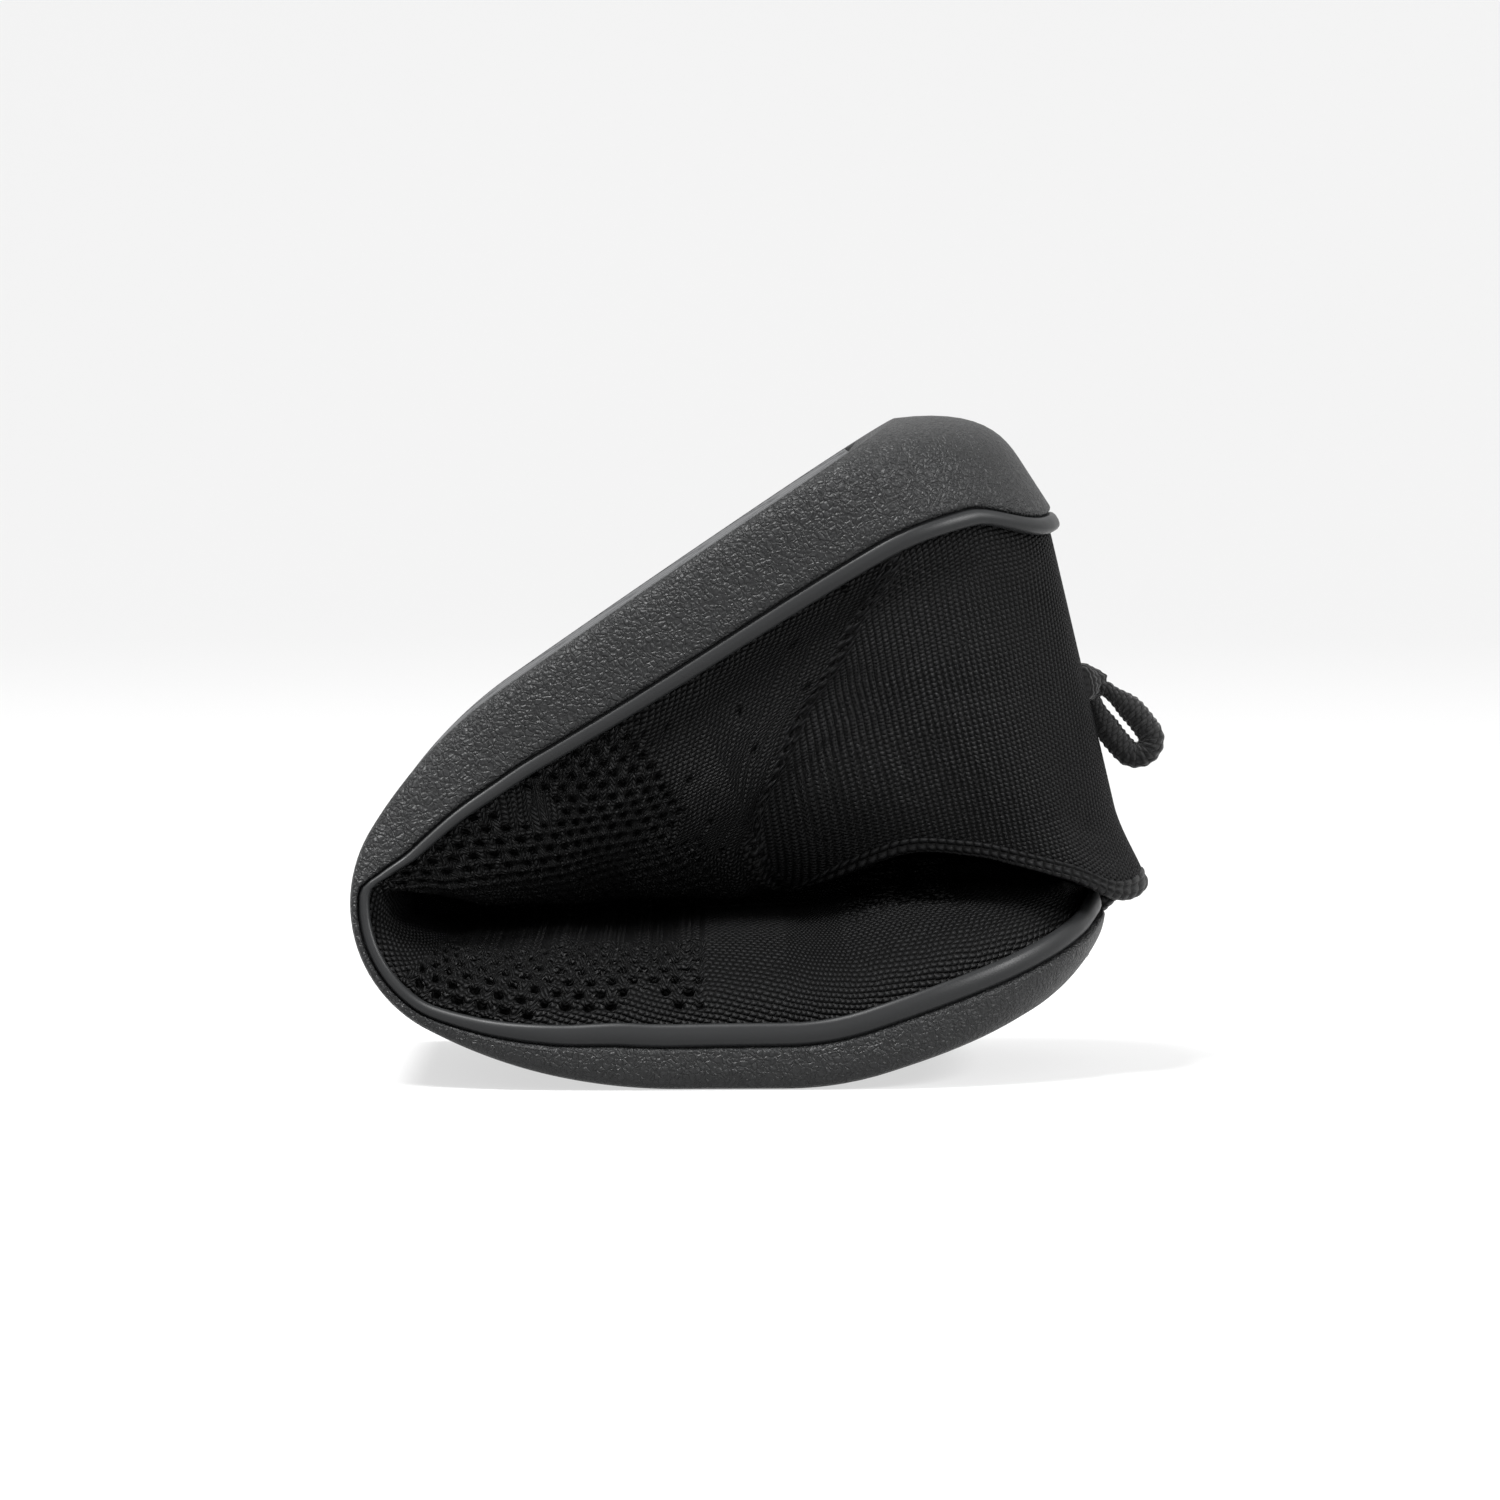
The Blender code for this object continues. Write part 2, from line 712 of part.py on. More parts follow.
def main():
    in_stretches("sole_unit", sole_unit(), "sole")
    for name, start, end in TREADS:
        folded(name, tread(start, end), "tread")
    in_stretches("rim_band", rim_band(), "band")
    in_stretches("strobel_board", footbed_layer(SEAT_GAP, SEAT_GAP, BOARD_THICKNESS), "board")
    insole_lift = 2 * SEAT_GAP + BOARD_THICKNESS
    in_stretches("insole", footbed_layer(INSOLE_MARGIN, insole_lift, INSOLE_THICKNESS), "insole")
    knit_upper()
    toe_puff()
    heel_layers()
    collar_welt()
    seat_origins(pull_loop())


for obj in list(bpy.data.objects):
    bpy.data.objects.remove(obj)
parts = bpy.data.collections.new("running_shoe")
bpy.context.scene.collection.children.link(parts)
main()
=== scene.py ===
"""Looks of a knit slip-on running shoe folded across its sole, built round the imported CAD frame.

Lengths are in millimetres until bend() turns them into metres. As in the CAD, every layer is drawn on a flat
shoe, where s is the distance from the toe tip along the ground surface, y runs across the shoe and n is the
height above the ground surface, and bend() lays it along the folded sole line.
"""

import json
import math

import bmesh
import bpy
import numpy as np
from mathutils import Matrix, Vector


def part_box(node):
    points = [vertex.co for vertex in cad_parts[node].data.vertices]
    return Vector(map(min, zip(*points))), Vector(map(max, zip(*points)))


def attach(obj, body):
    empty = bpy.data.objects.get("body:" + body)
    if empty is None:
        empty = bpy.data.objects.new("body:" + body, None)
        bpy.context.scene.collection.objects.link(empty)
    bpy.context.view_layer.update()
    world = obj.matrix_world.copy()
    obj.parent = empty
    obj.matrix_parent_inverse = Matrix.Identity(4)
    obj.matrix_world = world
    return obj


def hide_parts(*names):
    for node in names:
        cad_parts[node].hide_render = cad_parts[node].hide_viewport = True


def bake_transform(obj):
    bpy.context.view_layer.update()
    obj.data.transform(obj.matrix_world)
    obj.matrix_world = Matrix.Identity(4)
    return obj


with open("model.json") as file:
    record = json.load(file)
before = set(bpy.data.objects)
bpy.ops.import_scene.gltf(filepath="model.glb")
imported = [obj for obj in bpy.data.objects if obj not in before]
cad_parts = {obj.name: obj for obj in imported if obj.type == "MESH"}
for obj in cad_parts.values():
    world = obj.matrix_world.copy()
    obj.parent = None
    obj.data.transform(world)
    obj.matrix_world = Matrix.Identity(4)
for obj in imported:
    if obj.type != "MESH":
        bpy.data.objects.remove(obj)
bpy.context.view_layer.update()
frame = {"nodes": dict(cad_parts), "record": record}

METRES = 0.001

# The folded sole line, toe to heel: run length and turn in degrees.
TOE_RISE_DEG = 17.0
SOLE_RUNS = (
    (43.0, 0.0),  # 0 toe
    (17.0, TOE_RISE_DEG),  # 1 down to the floor
    (18.0, 0.0),  # 2 flat that the shoe rests on
    (43.0, 26.0),  # 3 rocker
    (38.0, 95.0),  # 4 tight bend
    (32.0, 24.0),  # 5 bend easing out
    (94.0, 2.0),  # 6 waist and heel
)
FLAT_RUN = 2
FLAT_MIDDLE_X = 7.0
LINE_STEP = 0.1
LAYER_STEP = 1.5
WELD = 2e-6

# Half widths and heights of the flat shoe, at run number and share of the run.
OUTER_HALF_WIDTH = (
    (0, 46.0), (1, 49.0), (3.5, 51.0), (4.3, 44.0), (5, 39.0), (6, 35.0), (6.75, 35.5), (7, 34.0),
)
INNER_HALF_WIDTH = (
    (0, 40.0), (1, 44.0), (3, 46.0), (4.3, 38.0), (5, 31.0), (6, 31.0), (6.75, 34.5), (7, 34.0),
)
TOE_ROUND = 50.0
HEEL_ROUND = 36.0
ROUND_POWER = 2.3
WALL_TOP = (
    (0, 12.0), (0.1, 10.3), (0.25, 8.9), (0.5, 7.9), (1, 7.3), (3.2, 6.7), (3.5, 5.0), (3.85, 2.8),
    (4.1, 1.7), (4.72, 1.3), (4.84, 4.2), (4.97, 6.6), (5.37, 9.4), (5.7, 11.2), (6.2, 13.3), (6.7, 15.0),
    (6.87, 18.6), (7, 27.5),
)
FOOTBED = (
    (0, 5.6), (1, 5.0), (3.2, 4.6), (3.85, 1.9), (4.1, 1.1), (4.72, 0.9), (4.97, 4.5), (5.7, 8.5), (7, 11.5),
)
BAND_HEIGHT = ((0, 3.8), (3.2, 4.0), (4.1, 2.2), (4.8, 2.0), (5.7, 2.6), (7, 3.2))
CROWN = (
    (0, 16.8), (0.08, 18.5), (0.25, 21.0), (0.52, 24.0), (0.83, 26.6), (1.9, 27.2), (3.1, 25.8), (3.6, 22.6),
    (3.9, 18.6), (4.16, 15.6), (4.32, 13.6), (4.45, 10.8), (4.6, 8.8), (4.72, 8.8), (4.80, 16.0), (4.9, 20.2),
    (5, 23.7), (5.28, 31.6), (5.56, 38.0), (6, 44.0), (6.12, 50.0), (6.28, 56.5), (6.48, 60.0), (6.63, 67.5),
    (6.81, 79.5), (7, 89.0),
)
# How far the upper's sections lean back toward the toe of the flat shoe, in degrees.
LEAN = (
    (0, 0), (4.72, 0), (4.84, 11), (5.2, 8), (5.7, 4), (6, 3), (6.28, 11), (6.5, 8), (6.63, 10), (6.81, 14),
    (7, 20),
)

# The sole unit and its tread.
SIDE_BEVEL = 2.5
TOE_BEVEL = 14.0
TOE_BEVEL_POWER = 1.7
HEEL_BEVEL = 14.0
HEEL_BEVEL_HEIGHT = 18.0
HEEL_BEVEL_POWER = 2.6
TIP_REACH = 60.0
TIP_LIFT = 3.6
TIP_LIFT_REACH = 38.0
WALL_LEDGE = 4.3
WALL_EDGE = 0.8
TREAD_THICKNESS = 1.1
TREAD_GAP = 0.3
TREADS = ((0.32, 3.52), (5.45, 6.90))
TREAD_RAMP = 1.2
TREAD_BORDER = 6.0
TREAD_EDGE = 0.9
LUG_LENGTH = 14.5
LUG_GROOVE = 0.9
GROOVE_DEPTH = 0.75
CHEVRON = 0.32
LONG_GROOVES = (0.34, 0.78)
LUG_RIB = 0.22
LUG_RIB_PITCH = 1.8
TREAD_STEP = 0.45
TREAD_ROWS = 150

# The band and the upper.
BAND_THICKNESS = 2.0
# The band's section: how far in from its outer face, and share of its height.
BAND_OUTLINE = (
    (0.75, 0.0), (0.42, 0.03), (0.16, 0.14), (0.0, 0.34), (0.0, 0.58), (0.16, 0.80), (0.42, 0.94),
    (0.80, 1.0), (1.30, 1.0), (1.75, 0.92), (BAND_THICKNESS, 0.7), (BAND_THICKNESS, -0.25),
    (1.3, -0.25), (0.75, 0.0),
)
GROOVE = 0.5
KNIT_THICKNESS = 1.6
SEAT_GAP = 0.3
ARCH_POWER = 2.9
THROAT = 6.28
OPENING_HALF_WIDTH = 29.0
OPENING_ROUND = 26.0
INSOLE_INSET = 6.7
INSOLE_LIFT = 1.4
INSOLE_THICKNESS = 2.2
LINING_START = 6.66
LINING_DEPTH = 3.0
LINING_THICKNESS = 1.2
LINING_TOP = 0.74
LINING_EDGE = 4.0
LINING_PUFF = 0.6
COLLAR_MIN_ANGLE_DEG = 32.0
# Distance along the sole of the seam before the heel's rib knit, by share of the way up the upper.
SEAM = (
    (0.0, 258.5), (0.08, 247.5), (0.17, 239.0), (0.23, 232.5), (0.34, 225.5), (0.40, 220.0), (0.47, 216.5),
    (0.67, 215.5), (1.0, 217.5),
)

# The pull loop on the back of the heel.
LOOP_CORD = 4.4
LOOP_SLOT = 0.8
LOOP_REACH = 15.7
LOOP_ANGLE_DEG = -51.0
LOOP_ROOT_SHARE = 0.6
LOOP_BOW = 0.5
LOOP_SINK = 2.2
LOOP_HANG = 1.8
HEEL_HEADING_DEG = 13.25
ANCHOR_WIDTH = 8.0
ANCHOR_HEIGHT = 6.6
ANCHOR_DEPTH = 1.2
ANCHOR_RISE = 1.9
KNOT_HEIGHT = 2.4
KNOT_RADIUS = 1.9
LOOP_RIB = 1.15

# The knit's stitches and ribs, in mm, and how they lean.
STITCH_LONG = 1.15
STITCH_HIGH = 0.98
ROW_TILT = 0.23
RIB_PITCH = 1.22
RIB_STITCH = 0.85
RIB_TILT = 0.2
RIB_HEIGHT = 0.34
KNIT_STEP = 0.5
LAST_COLUMNS = 190
HEEL_COLUMNS = 420
OUTER_ROWS = 120
INNER_ROWS = 20

# How the knit hangs, in mm: its waves, gathers at the throat and pinches at the crease, how far the collar's
# edge drops on the side away from the camera and at the heel, and the flare at the back of the heel.
WAVE = 0.30
FINE_WAVE = 0.20
GATHER = 0.9
PINCH = 0.28
HEM_DROP = 10.5
HEEL_DROP = 3.5
HEEL_FLARE = 2.4
# How far the knit is pressed out of shape where the fold's two halves meet, by distance along the sole.
BULGE = (
    (0, 0.0), (20, 3.0), (60, 4.2), (105, 3.6), (118, 3.4), (155, 3.4), (168, 3.4), (200, 4.4), (222, 4.4),
    (250, 0.0),
)

# The net of holes in the knit. Each field has a start, an end and a soft edge along the sole, in mm, and then
# the same up the upper, in shares of its height.
NET_FIELDS = (
    (150, 207, 1.5, -1, 0.895, 0.035),
    (74, 104, 1.5, 0.10, 0.60, 0.03),
    (104, 130, 2.0, -1, 0.53, 0.03),
    (22, 40, 2.0, 0.61, 2, 0.03),
)
HOLE_RADIUS = 0.92
HOLE_DEPTH = 1.0
HOLE_LONG = 3.6
HOLE_HIGH = 2.45
NET_TILT = 0.62
NET_TILT_START = 138.0
ROPE_HEIGHT = 0.28
SINGLES_START = 207.0
SINGLE_RADIUS = 0.8

# The seam's strip and the collar's hem.
EYELET_PITCH = 2.7
SEAM_HALF_WIDTH = 2.4
SEAM_RIDGE = 0.75
HEM_START = 0.935
HEM_LIFT = 0.40
HEM_ROW = 1.5
HEM_STITCH = 1.7

# Colours that several materials share: painted shade between the knits' stitches and painted highlight on
# their yarn.
YARN_PAINTED_SHADE = (0.0013, 0.0013, 0.0014)
YARN_PAINTED_LIGHT = (0.0088, 0.0089, 0.0093)
KNIT_PAINTED_LIGHT = (0.0125, 0.0127, 0.0131)

# The camera, the room and its lamps: name, place, size and watts.
CAMERA_DISTANCE = 1.3
CAMERA_ELEVATION_DEG = 3.0
VIEW_WIDTH = 0.2485
CAMERA_AIM = (0.0100, -0.040, 0.0556)
FLOOR_RADIUS = 1.9
SWEEP_RADIUS = 1.0
SWEEP_HEIGHT = 9.0
FLOOR_GAP = 0.0001
SWEEP_GLOW = 0.62
WORLD_LIGHT = 0.2
LAMPS = (
    ("key", (-0.45, -0.30, 1.35), 0.5, 42.0),
    ("heel_light", (1.1, -0.45, 0.85), 0.4, 18.0),
    ("front_fill", (0.1, -1.4, 0.35), 0.9, 3.0),
)

# Where the flexing layers are split into pieces, and the CAD bodies whose parts each piece stands for.
PIECE_ENDS = (0.0, 3.87, 4.306, 4.595, 4.98, 7.0)
CHAIN = ("front", "bend_1", "bend_2", "bend_3", "bend_4", "rear")


def run_start(number):
    return sum(length for length, _ in SOLE_RUNS[:number])


SHOE_LENGTH = run_start(len(SOLE_RUNS))


def station(place):
    """Distance from the toe tip of a place given as run number and share of that run."""
    number = min(int(place), len(SOLE_RUNS) - 1)
    return run_start(number) + (place - number) * SOLE_RUNS[number][0]


def curve(table, s):
    """A table's curve at an array of distances from the toe tip."""
    return smooth_curve([station(place) for place, _ in table], [value for _, value in table], s)


def smooth_curve(places, values, s):
    """A smooth curve through given points that never overshoots them."""
    places, values = np.array(places, float), np.array(values, float)
    slopes = np.diff(values) / np.diff(places)
    tangents = np.zeros(len(values))
    product = slopes[:-1] * slopes[1:]
    total = slopes[:-1] + slopes[1:]
    tangents[1:-1] = np.where(product > 0, 2 * product / np.where(product > 0, total, 1.0), 0.0)
    s = np.asarray(s, float)
    i = np.clip(np.searchsorted(places, s, side="right") - 1, 0, len(slopes) - 1)
    gap = places[i + 1] - places[i]
    t = np.clip((s - places[i]) / gap, 0, 1)
    rise = values[i + 1] - values[i]
    return (
        values[i]
        + rise * t * t * (3 - 2 * t)
        + gap * tangents[i] * t * (1 - t) ** 2
        - gap * tangents[i + 1] * t * t * (1 - t)
    )


def sole_line():
    """Arrays of s, x, z and heading along the folded ground surface."""
    heading = -TOE_RISE_DEG
    x = z = s = 0.0
    points = [(s, x, z, heading)]
    for length, turn in SOLE_RUNS:
        steps = round(length / LINE_STEP)
        for _ in range(steps):
            middle = math.radians(heading + turn / steps / 2)
            x -= length / steps * math.cos(middle)
            z += length / steps * math.sin(middle)
            heading += turn / steps
            s += length / steps
            points.append((s, x, z, heading))
    line = np.array(points)
    rest_s = run_start(FLAT_RUN) + SOLE_RUNS[FLAT_RUN][0] / 2
    rest = line[np.argmin(abs(line[:, 0] - rest_s))]
    line[:, 1] += FLAT_MIDDLE_X - rest[1]
    line[:, 2] -= rest[2]
    return line


LINE = sole_line()


def band_top(s):
    return curve(WALL_TOP, s) + curve(BAND_HEIGHT, s)


def bend(s, y, n):
    """The folded places, in metres, of points of the flat shoe."""
    s, y, n = np.broadcast_arrays(np.asarray(s, float), y, n)
    x, z, heading = (np.interp(s, LINE[:, 0], LINE[:, k]) for k in (1, 2, 3))
    straight = np.minimum(n, band_top(s))
    leaning = n - straight
    up = np.radians(heading)
    leant = np.radians(heading + curve(LEAN, s))
    x = x + straight * np.sin(up) + leaning * np.sin(leant)
    z = z + straight * np.cos(up) + leaning * np.cos(leant)
    return np.stack([x, y, z], axis=-1) * METRES


def smooth(value, low, high):
    """0 below low, 1 above high, and an even ramp between."""
    t = np.clip((value - low) / (high - low), 0, 1)
    return t * t * (3 - 2 * t)


def full_width(place, side):
    return curve(OUTER_HALF_WIDTH if side < 0 else INNER_HALF_WIDTH, place)


def half_width(place, side):
    """Half width of the sole, which narrows to nothing at the round toe and heel."""
    toe = np.clip(1 - place / TOE_ROUND, 0, 1)
    heel = np.clip(1 - (SHOE_LENGTH - place) / HEEL_ROUND, 0, 1)
    rounding = np.clip(1 - np.maximum(toe, heel) ** ROUND_POWER, 0, 1) ** (1 / ROUND_POWER)
    return full_width(place, side) * rounding


def edge_line(place, side, inset, toe=None, heel=None):
    """(s, y) of the sole's outline moved in by inset, or by toe and heel at the two tips."""
    toe = inset if toe is None else toe
    heel = inset if heel is None else heel
    s = place + toe * np.clip(1 - place / TIP_REACH, 0, 1) ** 2
    s = s - heel * np.clip(1 - (SHOE_LENGTH - place) / TIP_REACH, 0, 1) ** 2
    full = full_width(place, side)
    return s, side * half_width(place, side) * (full - inset) / full


def columns(piece, step):
    """Places along the sole that one piece covers, closest together at the round tips."""
    start, end = station(PIECE_ENDS[piece]), station(PIECE_ENDS[piece + 1])
    if piece == 0:
        turns = np.linspace(0, math.pi / 2, 26)[:-1]
        tip = TOE_ROUND * (1 - np.cos(turns))
        return np.concatenate([tip, spaced(TOE_ROUND, end, step)])
    if piece == len(PIECE_ENDS) - 2:
        turns = np.linspace(0, math.pi / 2, 26)[:-1][::-1]
        tip = SHOE_LENGTH - HEEL_ROUND * (1 - np.cos(turns))
        return np.concatenate([spaced(start, SHOE_LENGTH - HEEL_ROUND, step)[:-1], tip])
    return spaced(start, end, step)


def spaced(start, end, step):
    return np.linspace(start, end, max(2, round((end - start) / step) + 1))


# Meshes


def grid_object(name, points, uv_maps, look):
    """A smooth mesh on a grid of points in metres, with named UV maps given on the same grid."""
    rows, cols = points.shape[:2]
    index = np.arange(rows * cols).reshape(rows, cols)
    quads = np.stack([index[:-1, :-1], index[:-1, 1:], index[1:, 1:], index[1:, :-1]], axis=-1).reshape(-1, 4)
    mesh = bpy.data.meshes.new(name)
    mesh.from_pydata(points.reshape(-1, 3).tolist(), [], quads.tolist())
    for title, uv in uv_maps.items():
        layer = mesh.uv_layers.new(name=title)
        layer.data.foreach_set("uv", uv.reshape(-1, 2)[quads.reshape(-1)].astype(np.float32).ravel())
    bm = bmesh.new()
    bm.from_mesh(mesh)
    bmesh.ops.remove_doubles(bm, verts=bm.verts, dist=WELD)
    bmesh.ops.recalc_face_normals(bm, faces=bm.faces)
    bm.to_mesh(mesh)
    bm.free()
    mesh.polygons.foreach_set("use_smooth", [True] * len(mesh.polygons))
    mesh.materials.append(look)
    obj = bpy.data.objects.new(name, mesh)
    bpy.context.scene.collection.objects.link(obj)
    return obj


def arc_length(points):
    """Distance in mm down each column of a grid of points in metres."""
    steps = np.linalg.norm(np.diff(points, axis=0), axis=-1) / METRES
    return np.concatenate([np.zeros((1, points.shape[1])), np.cumsum(steps, axis=0)])


def join_bodies(obj):
    """Bakes the placement of one piece of a flexing layer into its mesh."""
    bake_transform(obj)


def flexing_layer(title, look, section, step, nodes):
    """A layer that runs the length of the shoe, as one piece for each hinge.

    section(places) gives the grid of points and its UV maps, nodes(body) the CAD nodes that it stands for.
    """
    made = []
    for piece in range(len(CHAIN) - 1):
        places = columns(piece, step)
        points, uv_maps = section(places)
        obj = grid_object(f"{title}_{piece + 1}", points, uv_maps, look)
        join_bodies(obj)
        stands_for = nodes(CHAIN[piece + 1]) + (nodes("front") if piece == 0 else [])
        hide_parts(*stands_for)
        made.append(obj)
    return made


# Materials


class Look:
    """A Principled material and short ways to add nodes to it."""

    def __init__(self, name, colour, roughness, **sockets):
        self.material = bpy.data.materials.new(name)
        self.material.use_nodes = True
        self.tree = self.material.node_tree
        self.shader = self.tree.nodes["Principled BSDF"]
        self.shader.inputs["Base Color"].default_value = (*colour, 1)
        self.shader.inputs["Roughness"].default_value = roughness
        for socket, value in sockets.items():
            self.shader.inputs[socket.replace("_", " ")].default_value = value

    def put(self, value, socket):
        if isinstance(value, bpy.types.NodeSocket):
            self.tree.links.new(value, socket)
        else:
            socket.default_value = value

    def node(self, kind, inputs=(), **settings):
        made = self.tree.nodes.new(kind)
        for name, value in settings.items():
            setattr(made, name, value)
        for name, value in dict(inputs).items():
            self.put(value, made.inputs[name])
        return made

    def math(self, operation, *values):
        made = self.tree.nodes.new("ShaderNodeMath")
        made.operation = operation
        for socket, value in zip(made.inputs, values):
            self.put(value, socket)
        return made.outputs[0]

    def vector(self, operation, a, b):
        return self.node("ShaderNodeVectorMath", {0: a, 1: b}, operation=operation).outputs[0]

    def add(self, a, b):
        return self.math("ADD", a, b)

    def sub(self, a, b):
        return self.math("SUBTRACT", a, b)

    def mul(self, a, b):
        return self.math("MULTIPLY", a, b)

    def ramp(self, value, low, high):
        """0 below low and 1 above high, smoothly."""
        made = self.node("ShaderNodeMapRange", interpolation_type="SMOOTHSTEP")
        self.put(value, made.inputs["Value"])
        made.inputs["From Min"].default_value = low
        made.inputs["From Max"].default_value = high
        return made.outputs["Result"]

    def uv(self, title):
        """The two coordinates of a UV map."""
        both = self.node("ShaderNodeUVMap", uv_map=title).outputs[0]
        parts = self.node("ShaderNodeSeparateXYZ", {"Vector": both})
        return parts.outputs[0], parts.outputs[1]

    def spot(self):
        """The place on the surface, in millimetres."""
        place = self.node("ShaderNodeTexCoord").outputs["Object"]
        return self.vector("MULTIPLY", place, (1 / METRES,) * 3)

    def noise(self, place, scale, detail=2.0, roughness=0.5):
        inputs = {"Vector": place, "Scale": scale, "Detail": detail, "Roughness": roughness}
        return self.node("ShaderNodeTexNoise", inputs).outputs[0]

    def cells(self, place, scale, feature="F1"):
        inputs = {"Vector": place, "Scale": scale}
        return self.node("ShaderNodeTexVoronoi", inputs, feature=feature).outputs["Distance"]

    def colours(self, share, dark, light):
        """A colour between two, by a share from 0 to 1, on the base colour."""
        mix = self.node("ShaderNodeMix", data_type="RGBA")
        self.put(share, mix.inputs["Factor"])
        mix.inputs[6].default_value = (*dark, 1)
        mix.inputs[7].default_value = (*light, 1)
        self.put(mix.outputs[2], self.shader.inputs["Base Color"])

    def rough(self, share, low, high):
        self.put(self.add(self.mul(share, high - low), low), self.shader.inputs["Roughness"])

    def bump(self, height, depth_mm, strength=1.0):
        """Bump from a height of 0 to 1 that stands for a depth in millimetres."""
        inputs = {"Height": height, "Strength": strength, "Distance": depth_mm * METRES}
        self.put(self.node("ShaderNodeBump", inputs).outputs[0], self.shader.inputs["Normal"])

    def knitted(self, stitches, depth_mm, light, tone_and_hole_shade):
        """Finishes a knit of stitches from 0 to 1: fuzzy yarn in relief, painted shade between the stitches,
        painted highlight on the yarn.
        """
        fuzz = self.noise(self.spot(), 5.0, 2.0, 0.7)
        yarn = self.add(self.mul(stitches, 0.8), self.mul(fuzz, 0.2))
        self.bump(yarn, depth_mm)
        # Painted light: the colour runs from painted shade in the gaps to painted highlight on the crowns,
        # times the tone and hole shade.
        self.colours(self.mul(self.ramp(yarn, 0.30, 1.00), tone_and_hole_shade), YARN_PAINTED_SHADE, light)
        self.rough(fuzz, 0.30, 0.62)

    def loft(self):
        """Slow changes of shade over a knit, about 1."""
        return self.add(self.mul(self.noise(self.spot(), 0.35, 2.0, 0.6), 0.9), 0.4)


def sole_look():
    look = Look("pebbled_sole", (0.03, 0.031, 0.033), 0.5, Specular_IOR_Level=0.26)
    place = look.spot()
    swirl = look.node("ShaderNodeTexNoise", {"Vector": place, "Scale": 0.45, "Detail": 2.0}).outputs[1]
    warped = look.vector("ADD", place, look.vector("MULTIPLY", swirl, (1.6, 1.6, 1.6)))
    creases = look.ramp(look.cells(warped, 1.10, "DISTANCE_TO_EDGE"), 0.0, 0.28)
    wrinkles = look.ramp(look.noise(warped, 1.15, 1.0), 0.30, 0.70)
    grain = look.noise(place, 2.2, 2.0, 0.5)
    height = look.add(look.add(look.mul(creases, 0.50), look.mul(wrinkles, 0.40)), look.mul(grain, 0.10))
    look.bump(height, 0.32, 1.0)
    # Painted shade: the colour darkens down into the grain's creases and wrinkles.
    look.colours(look.ramp(height, 0.15, 0.9), (0.0070, 0.0073, 0.0076), (0.0110, 0.0114, 0.0119))
    look.rough(look.noise(place, 0.9, 3.0), 0.40, 0.54)
    return look.material


def band_look():
    look = Look("satin_band", (0.030, 0.031, 0.033), 0.42, Specular_IOR_Level=0.22)
    place = look.spot()
    look.bump(look.noise(place, 2.5, 3.0, 0.6), 0.03, 0.6)
    look.colours(look.noise(place, 0.06, 2.0), (0.0095, 0.0099, 0.0104), (0.0125, 0.0130, 0.0136))
    look.rough(look.noise(place, 0.3, 3.0), 0.36, 0.50)
    return look.material


def tread_look():
    look = Look("tread_rubber", (0.034, 0.035, 0.037), 0.55)
    place = look.spot()
    look.bump(look.noise(place, 1.6, 4.0, 0.6), 0.06, 0.7)
    look.colours(look.noise(place, 0.1, 3.0), (0.027, 0.028, 0.030), (0.040, 0.041, 0.043))
    look.rough(look.noise(place, 0.5, 3.0), 0.46, 0.62)
    return look.material


def stitched(look, along, across, length, height):
    """Rows of rice-grain stitches, each row set half a stitch on from the last: 1 on a yarn, 0 between."""
    row = look.math("DIVIDE", across, height)
    shift = look.mul(look.math("MODULO", look.math("ABSOLUTE", look.math("FLOOR", row)), 2.0), 0.5)
    slant = look.mul(look.math("FRACT", row), 0.35)
    turn = look.add(look.add(look.math("DIVIDE", along, length), shift), slant)
    wave = look.math("ABSOLUTE", look.math("SINE", look.mul(turn, math.pi)))
    rows = look.math("ABSOLUTE", look.math("SINE", look.mul(row, math.pi)))
    return look.mul(look.math("POWER", wave, 0.7), look.math("POWER", rows, 0.8))


def knit_look():
    look = Look("rice_knit", YARN_PAINTED_LIGHT, 0.8, Specular_IOR_Level=0.10)
    u, v = look.uv("stitch")
    hollow, _ = look.uv("zone")
    wander = look.sub(look.noise(look.spot(), 0.22, 2.0), 0.5)
    across = look.add(look.add(v, look.mul(u, -ROW_TILT)), look.mul(wander, 0.9))
    along = look.add(u, look.mul(wander, 1.2))
    stitches = stitched(look, along, across, STITCH_LONG, STITCH_HIGH)
    # Painted shade: the colour darkens down into the net's holes; the loft adds slow random tone.
    tone_and_hole_shade = look.mul(look.loft(), look.sub(1.0, look.ramp(hollow, 0.1, 0.8)))
    look.knitted(stitches, 0.9, KNIT_PAINTED_LIGHT, tone_and_hole_shade)
    return look.material


def rib_look():
    look = Look("rib_knit", YARN_PAINTED_LIGHT, 0.8, Specular_IOR_Level=0.10)
    u, v = look.uv("stitch")
    rib = look.add(u, look.mul(v, RIB_TILT))
    look.knitted(stitched(look, v, rib, RIB_STITCH, RIB_PITCH), 0.42, YARN_PAINTED_LIGHT, look.loft())
    return look.material


def cloth_look(name, dark, light, scale):
    """A fine woven or brushed cloth for what is inside the shoe."""
    look = Look(name, light, 0.92, Sheen_Weight=0.1)
    place = look.spot()
    fibre = look.noise(place, scale, 4.0, 0.7)
    look.bump(fibre, 0.15, 0.7)
    look.colours(fibre, dark, light)
    return look.material


def film_look():
    look = Look("heat_set_film", (0.12, 0.12, 0.12), 0.45)
    place = look.spot()
    look.bump(look.noise(place, 0.8, 3.0), 0.05, 0.5)
    look.colours(look.noise(place, 0.2, 3.0), (0.10, 0.10, 0.10), (0.14, 0.14, 0.14))
    return look.material


